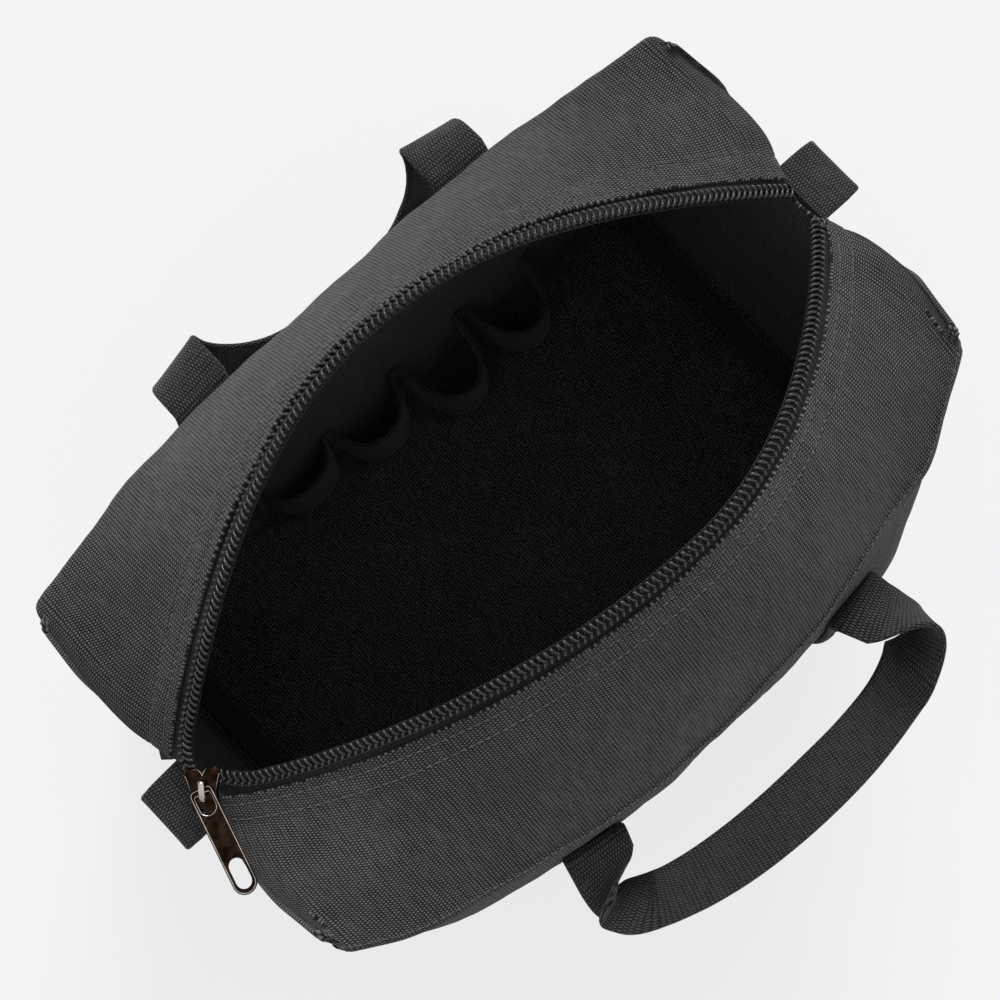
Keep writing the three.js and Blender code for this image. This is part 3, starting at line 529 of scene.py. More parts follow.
def cloth_sheet(name: str, outer: Grid, inner: Grid, uv: Grid) -> bpy.types.Object:
    """A cloth of two layers, joined all round by a half-round rim.

    The rim's points lie on a half circle whose diameter joins the two layers' edges.

    Args:
        name: the object's name.
        outer: the outer layer, columns by rows by three.
        inner: the inner layer of the same size.
        uv: the map for both layers, in metres.

    Returns:
        The object.
    """
    columns, rows = outer.shape[:2]
    numbers = np.arange(columns * rows).reshape(columns, rows)
    under = numbers + columns * rows
    ring = np.concatenate([numbers[:, 0], numbers[-1, 1:], numbers[-2::-1, -1], numbers[0, -2:0:-1]])
    points = np.concatenate([outer.reshape(-1, 3), inner.reshape(-1, 3)])
    maps = np.concatenate([uv.reshape(-1, 2)] * 2)
    top, low = points[ring], points[ring + columns * rows]
    centre, arm = (top + low) / 2, (top - low) / 2
    inset = np.concatenate([numbers[:, 1], numbers[-2, 1:], numbers[-2::-1, -2], numbers[1, -2:0:-1]])
    away = unit(top - points[inset])
    away = unit(away - arm * (away * arm).sum(-1, keepdims=True) / (arm ** 2).sum(-1, keepdims=True))
    half = np.linalg.norm(arm, axis=-1, keepdims=True)
    rings = [ring]
    for step in (0.25, 0.5, 0.75):
        turn = math.pi * step
        added = centre + arm * math.cos(turn) + away * half * math.sin(turn) * 0.8
        rings.append(np.arange(len(points), len(points) + len(ring)))
        points = np.concatenate([points, added])
        maps = np.concatenate([maps, maps[ring]])
    rings.append(ring + columns * rows)
    loops = np.stack(rings, axis=1)
    loops = np.concatenate([loops, loops[:1]])
    faces = np.concatenate([strip_faces(numbers), strip_faces(under)[:, ::-1], strip_faces(loops)[:, ::-1]])
    return make_object(name, points, [outward_faces(points, faces)], maps, 70.0)


def sweep(path: Grid, across: Grid, section: Grid, skew: bool = False) -> Grid:
    """Carries a closed section along a path.

    Each ring is the path's point plus the section's first value along the width direction and its
    second value along the normal, which is the path's direction crossed with the width direction.

    Args:
        path: the middle line.
        across: the width direction at each point.
        section: the section's points, or one section for each point of the path.
        skew: keeps the width directions as they are, also where they lean along the path.

    Returns:
        The rings.
    """
    along = unit(np.gradient(path, axis=0))
    normal = unit(np.cross(along, across))
    wide = unit(across) if skew else unit(np.cross(normal, along))
    if section.ndim == 2:
        section = np.broadcast_to(section, (len(path), *section.shape))
    return path[:, None] + section[..., :1] * wide[:, None] + section[..., 1:] * normal[:, None]


def close_rings(rings: Grid) -> tuple[Grid, list]:
    """Joins rings into a tube with closed ends.

    Args:
        rings: rings by points by three, or several tubes by rings by points by three.

    Returns:
        The points and the faces.
    """
    tubes = rings[None] if rings.ndim == 3 else rings
    count, length, sides = tubes.shape[:3]
    numbers = np.arange(count * length * sides).reshape(count, length, sides)
    looped = np.concatenate([numbers, numbers[..., :1]], axis=2)
    quads = np.stack([looped[:, :-1, :-1], looped[:, 1:, :-1], looped[:, 1:, 1:], looped[:, :-1, 1:]],
                     axis=-1).reshape(-1, 4)
    points = tubes.reshape(-1, 3)
    turned = outward_faces(points, quads)
    heads, tails = numbers[:, 0], numbers[:, -1, ::-1]
    if turned is not quads:
        heads, tails = heads[:, ::-1], tails[:, ::-1]
    return points, [turned, heads, tails]


def band_section(width: float, thickness: float, steps: int = 12) -> Grid:
    """The section of a webbing: flat faces, round edges and a slightly thicker selvedge.

    Args:
        width: the webbing's width.
        thickness: its thickness.
        steps: how many points each flat face has.

    Returns:
        The section's points.
    """
    half, deep = width / 2 - thickness / 2, thickness / 2
    flat = np.linspace(-half, half, steps)
    lift = deep * (1 + 0.12 * smooth_step(half - 3, half - 1, np.abs(flat)))
    turn = np.linspace(math.pi / 2, -math.pi / 2, 7)[1:-1]
    right = np.stack([half + deep * np.cos(turn), deep * np.sin(turn)], axis=1)
    top = np.stack([flat, lift], axis=1)
    return np.concatenate([top, right, -top, -right])


def webbing(name: str, path: Grid, across: Grid, width: float, thickness: float,
            narrowing: Grid | None = None) -> bpy.types.Object:
    """A webbing along a path, mapped in metres along and across.

    Args:
        name: the object's name.
        path: the middle line in millimetres.
        across: the width direction at each point.
        width: the webbing's width.
        thickness: the webbing's thickness.
        narrowing: a share of the width at each point.

    Returns:
        The object.
    """
    section = band_section(width, thickness)
    scale = np.ones(len(path)) if narrowing is None else narrowing
    sections = section[None] * np.stack([scale, np.ones(len(path))], axis=1)[:, None]
    points, faces = close_rings(sweep(path, across, sections, skew=True))
    run, girth = run_along(path)[:, None], run_along(section)[None]
    uv = np.stack(np.broadcast_arrays(run, girth), axis=-1).reshape(-1, 2) * MM
    return make_object(name, points, faces, uv, 60.0)


@dataclass(frozen=True)
class Stitch:
    """A row of stitches: their spacing, length, thread radius and rise, in millimetres."""

    pitch: float = 3.2
    length: float = 2.5
    radius: float = 0.28
    rise: float = 0.22

    def row(self, path: Grid, normals: Grid) -> Grid:
        """Lays stitches along a path.

        Each stitch is a tube of five rings. Its middle line rises from the cloth and dives back as
        one minus the fourth power of the way from its middle.

        Args:
            path: points on the cloth.
            normals: the cloth's normals there.

        Returns:
            Stitches by rings by points by three.
        """
        run = run_along(path)
        count = max(1, int(run[-1] / self.pitch))
        middles = (np.arange(count) + 0.5) * run[-1] / count
        t = np.linspace(-1, 1, 5)
        at = middles[:, None] + t * self.length / 2
        place, normal = read_at(at, run, path), unit(read_at(at, run, normals))
        along = unit(np.gradient(place, axis=1))
        side = np.cross(along, normal)
        height = self.rise * (1 - 1.6 * t ** 4)
        place = place + normal * height[:, None]
        turn = circle(6)
        radius = self.radius * (1 - 0.35 * t ** 4)
        ring = side[:, :, None] * turn[:, :1] + normal[:, :, None] * turn[:, 1:]
        return place[:, :, None] + ring * radius[:, None, None]


def stitching(name: str, rows: list[Grid]) -> bpy.types.Object:
    """Makes one object of several rows of stitches."""
    points, faces = close_rings(np.concatenate(rows))
    return make_object(name, points, faces, None, 80.0)


# The bag's form


@dataclass(frozen=True)
class Wall:
    """A long wall and the half of the mouth above it, in millimetres."""

    side: int
    bulge: float
    sag: float
    belly: float
    lean: float
    opening: float
    rise: float
    peak: float
    fullness: float


FRONT = Wall(-1, 31, 18, 22, 1, 60, 50, 30, 0.8)
REAR = Wall(1, 13.5, 15, 6, 1.8, 56, 66, -6, 0.95)

# How far the stuffing pushes the cloth out beyond the plain form, in millimetres. The edges and the
# bellies are by wall, as (place along the bag, out); the ends are by end and wall, as (place across
# the end, out, up).
EDGE_PUSH = {
    -1: ((-147, 1.8), (-140, 3), (-133, 3.8), (-125, 5.4), (-114, 3.6), (-100, 2.4), (-80, 2.2), (-50, 5.4),
         (0, 6.6), (50, 5.4), (75, 3), (90, 3.2), (112, 4.4), (124, 3.4), (134, 0.8), (147, -0.8)),
    1: ((-147, 0.2), (-138, 0.9), (-125, 1.4), (-110, 2.5), (-85, 4.3), (-60, 4), (0, 2.6), (78, 2.6),
        (105, 2.3), (120, 1.5), (135, 1.3), (147, 1.2)),
}
BELLY_PUSH = {
    -1: ((-147, 0), (-135, 3), (-122, 5), (-105, 3), (-80, 1), (-50, -2), (0, -3), (50, 0), (65, 6),
         (80, 9.5), (95, 11), (108, 7.5), (125, 2), (147, 0)),
    1: ((-147, 0), (147, 0)),
}
END_PUSH = {
    (1, 1): ((0, 1, 0), (13, 3.4, 2.5), (23, 5.6, 4), (33, 4.1, 3), (43, 2.7, 0.8), (53, 1.1, 0),
             (63, 0.4, 0), (71, 1.2, 0)),
    (1, -1): ((0, 1, 0), (13, 3.4, 2), (23, 4.8, 3), (33, 4, 2), (43, 3.3, 0.5), (53, 1.4, 0),
              (63, 0.1, 0), (71, 0, 0)),
    (-1, 1): ((0, 1, 0), (13, 2.4, 1), (23, 3, 1), (33, 1.7, 0.5), (43, 0.1, 0), (53, -1, 0),
              (63, -1.1, 0), (71, -0.2, 0)),
    (-1, -1): ((0, 0.5, 0), (13, 1.2, 0), (23, 2, 0), (33, 2.9, 0), (43, 2.3, 0), (53, 1.8, 0),
               (63, 1.2, 0), (71, 1.6, 0)),
}


def eased(at: Grid, knots: tuple, part: int = 1, reach: float = 9.0) -> Grid:
    """Reads a table smoothly: the mean of its values, weighed by a bell curve round each place.

    Args:
        at: where to read.
        knots: rows of the table, each a place and its values.
        part: which value.
        reach: the bell curve's width.

    Returns:
        The values.
    """
    places = np.array([row[0] for row in knots], float)
    values = np.array([row[part] for row in knots], float)
    dense = np.linspace(places[0], places[-1], 120)
    read = np.interp(dense, places, values)
    weight = bell(np.asarray(at, float)[..., None], dense, reach) + 1e-12
    return (weight * read).sum(-1) / weight.sum(-1)


@dataclass(frozen=True)
class BagShape:
    """The surfaces of the bag, as functions of two parameters, in millimetres."""

    length: float = 294
    width: float = 154
    height: float = 178
    corner: float = 6
    foot: float = 3.5
    cloth: float = 1.6
    dip: float = 18
    swell: float = 3
    end_belly: float = 3
    zip_offset: float = 4
    crown: float = 4
    ease_reach: float = 70
    tab_zone: float = 18.7
    squareness: float = 0.55
    edge_reach: float = 2.8

    @property
    def half(self) -> float:
        """Half the bag's length."""
        return self.length / 2

    @property
    def end_half(self) -> float:
        """Half the width of an end panel."""
        return self.width / 2 - self.corner

    @property
    def rim(self) -> float:
        """The run of a long wall's rim round both its corners."""
        return self.length - 2 * self.corner + math.pi * self.corner

    def spread(self, x: Grid) -> Grid:
        """How far the open mouth spreads a long edge: one minus a power of the way to the corner."""
        return 1 - np.minimum(1, np.abs(x) / self.half) ** 2.6

    def station(self, s: Grid) -> tuple[Grid, Grid, Grid, Grid]:
        """Places on the rim of a long wall, round one corner, along the side, round the other.

        Args:
            s: the share of the rim's run, from 0 to 1.

        Returns:
            x, y and the two parts of the outward direction.
        """
        arc = math.pi / 2 * self.corner
        run = np.clip(s, 0, 1) * self.rim
        left, right = run < arc, run > self.rim - arc
        turn = np.where(left, run, self.rim - run) / self.corner
        hand = np.where(left, -1.0, 1.0)
        round_x = hand * (self.half - self.corner + self.corner * np.cos(turn))
        round_y = self.end_half + self.corner * np.sin(turn)
        bent = left | right
        x = np.where(bent, round_x, self.corner - self.half + run - arc)
        y = np.where(bent, round_y, self.width / 2)
        return x, y, np.where(bent, hand * np.cos(turn), 0.0), np.where(bent, np.sin(turn), 1.0)

    def station_at(self, x: Grid) -> Grid:
        """The station of a long wall's column at x."""
        return (x + self.half - self.corner + math.pi / 2 * self.corner) / self.rim

    def wall_top(self, wall: Wall, x: Grid) -> Grid:
        """The height of a long wall's top edge."""
        return self.height - wall.sag * self.spread(x)

    def wall_point(self, wall: Wall, s: Grid, v: Grid) -> Grid:
        """A long wall's outside: it leans out by a power of v and bellies by a half sine wave.

        Its corner is a quarter circle at the foot and a squarer curve, a power of it, at the top.

        Args:
            wall: the wall.
            s: the share of the rim's run.
            v: the share of the height.

        Returns:
            The points.
        """
        x, y, nx, ny = self.station(s)
        square = 1 - self.squareness * np.clip(v, 0, 1) ** 3
        bent = np.abs(nx) > 1e-9
        x = np.where(bent, x + self.corner * (signed_power(nx, square) - nx), x)
        y = np.where(bent, y + self.corner * (np.maximum(ny, 0) ** square - ny), y)
        pushed = eased(x, EDGE_PUSH[wall.side]) * ny
        stuffed = eased(x, BELLY_PUSH[wall.side]) * ny
        ends = self.near(x) * np.sign(x) * self.corner_push(wall, x)
        x, y, v, pushed, stuffed, ends = np.broadcast_arrays(x, y, v, pushed, stuffed, ends)
        z = self.foot + (self.wall_top(wall, x) - self.foot) * v
        out = wall.bulge * np.maximum(v, 0) ** wall.lean + wall.belly * np.sin(math.pi * v)
        out = self.spread(x) * out + pushed * v * v + stuffed * np.sin(math.pi * v)
        return np.stack([x + ends * v * v, wall.side * (y + out), z], axis=-1)

    def corner_push(self, wall: Wall, x: Grid) -> Grid:
        """How far the nearer end is pushed out at its corner with a long wall."""
        return np.where(x < 0, *(END_PUSH[hand, wall.side][-1][1] for hand in (-1, 1)))

    def near(self, x: Grid) -> Grid:
        """How near a place is to an end seam, rising to one by a square."""
        return fade(self.half - np.abs(x), self.ease_reach) ** 2

    def foot_point(self, wall: Wall, s: Grid, turn: Grid) -> Grid:
        """The rounded foot of a long wall: a quarter circle from the floor to upright.

        Args:
            wall: the wall.
            s: the share of the rim's run.
            turn: the angle on the quarter circle.

        Returns:
            The points.
        """
        x, y, nx, ny = self.station(s)
        x, y, nx, ny, turn = np.broadcast_arrays(x, y, nx, ny, turn)
        inset = self.foot * (1 - np.sin(turn))
        z = self.foot * (1 - np.cos(turn))
        return np.stack([x - nx * inset, wall.side * (y - ny * inset), z], axis=-1)

    def end_edge(self, hand: int, y: Grid) -> Grid:
        """The top edge of an end panel: it dips to the zip by the power 1.5 and swells beside it.

        Args:
            hand: -1 for the end with the slider, 1 for the other.
            y: the place across the end.

        Returns:
            The points.
        """
        q = np.clip((np.abs(y) - self.tab_zone) / (self.end_half - self.tab_zone), 0, 1)
        rear, front = END_PUSH[hand, 1], END_PUSH[hand, -1]
        away = np.abs(y)
        out, lift = (np.where(y > 0, eased(away, rear, k, 6), eased(away, front, k, 6)) for k in (1, 2))
        x = hand * (self.half + self.swell * np.sin(math.pi * q) + out)
        return np.stack([x, y, self.height - self.dip * (1 - q) ** 1.5 + lift], axis=-1)

    def end_point(self, hand: int, y: Grid, v: Grid) -> Grid:
        """An end panel's outside, bellied by a squared sine wave, with rounded top corners.

        Args:
            hand: -1 for the end with the slider, 1 for the other.
            y: the place across the end.
            v: the share of the height.

        Returns:
            The points.
        """
        y, v = np.broadcast_arrays(y, v)
        edge = self.end_edge(hand, y)
        cut = np.clip((self.end_half - np.abs(y)) / self.edge_reach, 0, 1)
        z = self.foot + (edge[..., 2] - self.edge_reach * (1 - np.sqrt(cut)) ** 2 - self.foot) * v
        across = np.cos(math.pi / 2 * y / self.end_half)
        out = (np.abs(edge[..., 0]) - self.half) * v * v + self.end_belly * np.sin(math.pi * v) ** 2 * across
        return np.stack([hand * (self.half + out), y, z], axis=-1)

    def zip_line(self, wall: Wall, x: Grid) -> Grid:
        """The middle of the coil: an arch, the power of a cosine, on each side of the mouth.

        Args:
            wall: the wall on that side.
            x: the place along the bag.

        Returns:
            The points.
        """
        reach = np.where(x < wall.peak, self.half + wall.peak, self.half - wall.peak)
        arch = np.maximum(0, np.cos(math.pi / 2 * np.clip((x - wall.peak) / reach, -1, 1)))
        y = self.zip_offset + wall.opening * arch ** wall.fullness
        z = self.height - self.dip + wall.rise * arch ** 0.85
        return np.stack([x, wall.side * y, z], axis=-1)

    def flap_point(self, wall: Wall, s: Grid, w: Grid) -> Grid:
        """A flap's outside: a straight run from the long edge to the coil, crowned by a sine wave.

        Near an end seam it is moved to meet the end panel's edge.

        Args:
            wall: the wall below the flap.
            s: the share of the length.
            w: the share of the way from the long edge to the coil.

        Returns:
            The points.
        """
        s, w = np.broadcast_arrays(s, w)
        x = -self.half + self.length * np.clip(s, 0, 1)
        edge = self.wall_point(wall, s, np.ones_like(s))
        point = edge + (self.zip_line(wall, x) - edge) * w[..., None]
        hand = np.where(x < 0, -1.0, 1.0)
        near = self.near(x)
        flat = wall.side * (self.end_half + (self.zip_offset - self.end_half) * w)
        seam = np.where((x < 0)[..., None], self.end_edge(-1, flat), self.end_edge(1, flat))
        level = self.height - self.dip * w
        crown = self.crown * np.sin(math.pi * np.clip(w, 0, 1)) * (1 - near) * math.sqrt(0.5)
        pushed = (1 - np.clip(w, 0, 1)) * self.corner_push(wall, x)
        point[..., 0] += near * hand * (np.abs(seam[..., 0]) - self.half - pushed)
        point[..., 1] += wall.side * crown
        point[..., 2] += near * (seam[..., 2] - level) + crown
        return point

    def flap_normal(self, wall: Wall, s: Grid, w: Grid) -> Grid:
        """A flap's outward normal, from small differences."""
        s = np.clip(s, NUDGE, 1 - NUDGE)
        return self.normal(partial(self.flap_point, wall), s, w, (0, wall.side * 0.5, 1))

    def wall_normal(self, wall: Wall, s: Grid, v: Grid) -> Grid:
        """A long wall's outward normal, from small differences.

        Args:
            wall: the wall.
            s: the share of the rim's run.
            v: the share of the height.

        Returns:
            The normals.
        """
        _, _, nx, ny = self.station(s)
        outward = np.stack(np.broadcast_arrays(nx, wall.side * ny, 0.0 * nx), axis=-1)
        return self.normal(partial(self.wall_point, wall), np.clip(s, NUDGE, 1 - NUDGE), v, outward)

    def wall_way(self, wall: Wall, s: Grid, v: Grid) -> Grid:
        """The direction along a long wall, level."""
        return unit(self.wall_point(wall, s + NUDGE, v) - self.wall_point(wall, s - NUDGE, v))

    @staticmethod
    def normal(surface: Surface, a: Grid, b: Grid, outward: object) -> Grid:
        """The normal of a surface: the cross product of its two small differences.

        Args:
            surface: the surface, as a function of two parameters.
            a: the first parameter.
            b: the second parameter.
            outward: a direction, or one for each point, on the side where the normals point.

        Returns:
            The normals.
        """
        a, b = np.broadcast_arrays(np.asarray(a, float), np.asarray(b, float))
        first = surface(a + NUDGE, b) - surface(a - NUDGE, b)
        second = surface(a, b + NUDGE) - surface(a, b - NUDGE)
        found = unit(np.cross(first, second))
        sign = np.sign((found * np.asarray(outward)).sum(-1, keepdims=True))
        return found * np.where(sign == 0, 1, sign)

    def span(self, wall: Wall, s: Grid) -> Grid:
        """The straight distance over a flap at each station."""
        edge = self.flap_point(wall, s, np.zeros_like(s))
        return np.linalg.norm(self.flap_point(wall, s, np.ones_like(s)) - edge, axis=-1)


def run_map(outer: Grid) -> Grid:
    """A map in metres for a grid: the mean run along the columns, and the run down each column.

    Args:
        outer: the grid.

    Returns:
        The map.
    """
    across = np.linalg.norm(np.diff(outer, axis=0), axis=-1).mean(axis=1)
    down = np.linalg.norm(np.diff(outer, axis=1), axis=-1)
    u = np.concatenate([[0], np.cumsum(across)])[:, None] + np.zeros(outer.shape[1])
    v = np.concatenate([np.zeros((len(outer), 1)), np.cumsum(down, axis=1)], axis=1)
    return np.stack([u, v], axis=-1) * MM


@dataclass
class CanvasBody:
    """The sewn canvas: a front and a rear shell, two end panels and the base."""

    shape: BagShape
    wardrobe: Wardrobe
    fold_to_coil: float = 5.4
    hem: float = 11.0
    hem_lift: float = 0.45
    seam_dip: float = 0.3
    seam_reach: float = 2.2
    end_lip: float = 0.9
    end_tuck: float = 1.4
    stitch_rows: tuple[float, float] = (3.0, 9.0)
    wrinkle: float = 0.75
    crease: float = 0.12
    pucker: float = 0.22
    end_rise: float = 165.0
    base_gap: float = 3.8
    rows: list[Grid] = field(default_factory=list)

    def columns(self) -> Grid:
        """Stations for the columns, closer together at the end seams."""
        close, rim = np.array([0.0, 0.6, 1.2, 1.9, 2.7, 3.6]), self.shape.rim
        return np.concatenate([close, np.linspace(4.8, rim - 4.8, 190), rim - close[::-1]]) / rim

    def hem_share(self, wall: Wall, s: Grid, distance: Grid) -> Grid:
        """The share of the way over a flap at a distance from its hem's fold."""
        return 1 - (self.fold_to_coil + distance) / self.shape.span(wall, s)

    def rows_of(self, wall: Wall, s: Grid) -> tuple[list[Grid], Grid]:
        """The plain form of a long wall and its flap, row by row.

        The rows are a quarter circle for the foot, then the wall, then a quadratic curve that rounds
        the long edge, then the flap and its folded hem.

        Args:
            wall: the wall.
            s: the columns' stations.

        Returns:
            The points of the five parts, and the distances of the hem's rows from its fold.
        """
        shape = self.shape
        foot = shape.foot_point(wall, s, np.linspace(0, math.pi / 2, 6)[None, :-1])
        limit = 1 - shape.edge_reach / (shape.wall_top(wall, shape.station(s)[0]) - shape.foot)
        upright = shape.wall_point(wall, s, np.linspace(0, 1, 78)[None] * limit)
        first = shape.edge_reach / shape.span(wall, s)
        tip = shape.wall_point(wall, s, np.ones((1, 1)))
        q = np.linspace(0, 1, 17)[None, 1:-1, None]
        edge = quadratic(upright[:, -1:], tip, shape.flap_point(wall, s, first), q)
        start = self.hem_share(wall, s, self.hem + 2)
        flap = shape.flap_point(wall, s, first + (start - first) * np.linspace(0, 1, 40)[None])
        fold = np.linspace(self.hem + 2, 0, 26)[1:]
        hem = shape.flap_point(wall, s, self.hem_share(wall, s, fold[None]))
        return [foot, upright, edge, flap, hem], fold

    def relief(self, wall: Wall, points: Grid, near_end: Grid, starts: Grid, fold: Grid) -> Grid:
        """The heights along a shell's normals: its seams, its hem and its wrinkles.

        The front's long seam is a raised band and the rear's a shallow groove. The hem is a step with
        small puckers and a groove along each row of stitches, whose depth waves with the stitches.

        Args:
            wall: the wall.
            points: the plain form.
            near_end: each column's distance from the nearer end seam.
            starts: the row where each part begins.
            fold: each row's distance from the hem's fold, endless below the hem.

        Returns:
            The heights.
        """
        in_edge = slice(starts[2], starts[3])
        on_flap = np.arange(points.shape[1]) >= (starts[2] + starts[3]) // 2
        height = -self.seam_dip * fade(near_end, np.where(on_flap, 3.6, self.seam_reach)) ** 2
        place = np.linspace(-1, 1, starts[3] - starts[2] + 2)[1:-1]
        band = np.zeros(points.shape[1])
        if wall is FRONT:
            band[in_edge] = smooth_step(-0.62, -0.45, place) - smooth_step(0.6, 0.78, place)
        else:
            band[in_edge] = -self.seam_dip * bell(place, -0.15, 0.12)
        height = height + band * smooth_step(2, 7, near_end)
        height += self.hem_lift * (1 - smooth_step(self.hem - 1.2, self.hem + 0.4, fold))
        run = self.columns()[:, None] * self.shape.rim
        for row in self.stitch_rows:
            dimple = 0.3 + 0.08 * np.sin(run * math.tau / Stitch.pitch)
            height -= bell(fold, row, 0.8) * dimple
        seed = 11 if wall is FRONT else 23
        calm = smooth_step(0, 9, near_end) * smooth_step(0, 14, points[..., 2])
        height += calm * self.wrinkle * ripple(points, 22, 80, seed)
        height += calm * self.crease * ripple(points, 6, 16, seed + 1)
        pucker = bell(fold, 7, 4.5) * smooth_step(0, 6, near_end)
        return height + pucker * self.pucker * ripple(points, 5, 12, seed + 2)

    def shell(self, wall: Wall, name: str, *nodes: str) -> bpy.types.Object:
        """Builds a long wall and its flap as one sewn shell, and lays its stitches.

        Args:
            wall: the wall.
            name: the object's name.
            nodes: the solids that it stands for.

        Returns:
            The object.
        """
        s = self.columns()[:, None]
        parts, fold = self.rows_of(wall, s)
        starts = np.cumsum([0] + [part.shape[1] for part in parts])
        outer = np.concatenate(parts, axis=1)
        total = outer.shape[1]
        folds = np.full(total, np.inf)
        folds[starts[4]:] = fold
        outward = np.array([0, wall.side, 0.6])
        near_end = np.minimum(s, 1 - s) * self.shape.rim
        height = self.relief(wall, outer, near_end, starts, folds)
        outer = outer + grid_normals(outer, outward) * height[..., None]
        rows = np.arange(total)
        lip = self.end_lip * fade(near_end, 8) * smooth_step(starts[2], starts[3], rows)
        lip = lip * (1 - smooth_step(starts[4], total - 8, rows))
        outer[..., 0] += np.sign(outer[..., 0]) * lip
        outer[..., 2] = np.maximum(outer[..., 2], 0)
        normals = grid_normals(outer, outward)
        piece = cloth_sheet(name, outer, outer - normals * self.shape.cloth, run_map(outer))
        self.wardrobe.dress(piece, CANVAS, Body.BAG, *nodes)
        for row in self.stitch_rows:
            k = starts[4] + int(np.abs(fold - row).argmin())
            self.rows.append(Stitch().row(outer[3:-3, k], normals[3:-3, k]))
        if wall is FRONT:
            k = starts[2] + 3 * (starts[3] - starts[2] + 1) // 4 - 1
            self.rows.append(Stitch(2.9, 2.2, 0.2, 0.12).row(outer[6:-6, k], normals[6:-6, k]))
        return piece

    def end(self, hand: int, name: str, node: str) -> bpy.types.Object:
        """Builds an end panel whose edges turn in towards its seams.

        Args:
            hand: -1 for the end with the slider, 1 for the other.
            name: the object's name.
            node: the solid that it stands for.

        Returns:
            The object.
        """
        shape, half = self.shape, self.shape.end_half
        close = np.array([0.0, 0.2, 0.6, 1.3, 2.2])
        y = np.concatenate([close - half, np.linspace(3.4 - half, half - 3.4, 88), half - close[::-1]])
        y = y[:, None]
        turn = np.linspace(0, math.pi / 2, 6)[None, :-1]
        inset, low = shape.foot * (1 - np.sin(turn)), shape.foot * (1 - np.cos(turn))
        foot = np.stack(np.broadcast_arrays(hand * (shape.half - inset), y, low), axis=-1)
        v = np.concatenate([np.linspace(0, 0.975, 80), [0.98, 0.984, 0.988, 0.9915]])[None]
        outer = np.concatenate([foot, shape.end_point(hand, y, v)], axis=1)
        outward = np.array([hand, 0, 0])
        near_side = half - np.abs(y) + np.zeros(outer.shape[1])
        near_top = np.concatenate([np.full(foot.shape[:2], np.inf), (1 - v) * self.end_rise + 0 * y], axis=1)
        height = -self.seam_dip * fade(near_side, self.seam_reach) ** 2
        height -= self.end_tuck * fade(near_top, 10) ** 1.5
        calm = smooth_step(0, 9, near_side) * smooth_step(0, 9, near_top) * smooth_step(0, 12, outer[..., 2])
        height += calm * 0.7 * ripple(outer, 22, 70, 37 + hand)
        height += calm * self.crease * ripple(outer, 6, 16, 41 + hand)
        outer = outer + grid_normals(outer, outward) * height[..., None]
        inner = outer - grid_normals(outer, outward) * shape.cloth
        piece = self.wardrobe.dress(cloth_sheet(name, outer, inner, run_map(outer)), CANVAS, Body.BAG, node)
        return piece

    def base(self) -> bpy.types.Object:
        """Builds the base cloth, flat below and a little uneven above.

        Returns:
            The object.
        """
        long, wide = self.shape.half - self.base_gap, self.shape.width / 2 - self.base_gap
        x, y = np.linspace(-long, long, 130)[:, None], np.linspace(-wide, wide, 70)[None]
        outer = np.stack(np.broadcast_arrays(x, y, 0.0), axis=-1)
        inner = outer.copy()
        inner[..., 2] = self.shape.cloth + 0.35 * ripple(outer, 18, 60, 53)
        piece = cloth_sheet("base_cloth", outer, inner, run_map(outer))
        self.wardrobe.dress(piece, CANVAS, Body.BAG, "bottom_panel")
        return piece

    def build(self) -> None:
        """Builds every canvas piece and the stitching on them."""
        self.shell(FRONT, "front_shell", "front_panel", "top_flap_front", "seam_ridge_front")
        self.shell(REAR, "rear_shell", "rear_panel", "top_flap_rear", "seam_ridge_rear")
        self.end(-1, "left_end", "end_panel_left")
        self.end(1, "right_end", "end_panel_right")
        self.base()
        self.wardrobe.dress(stitching("canvas_stitching", self.rows), THREAD, Body.BAG)


# The zip


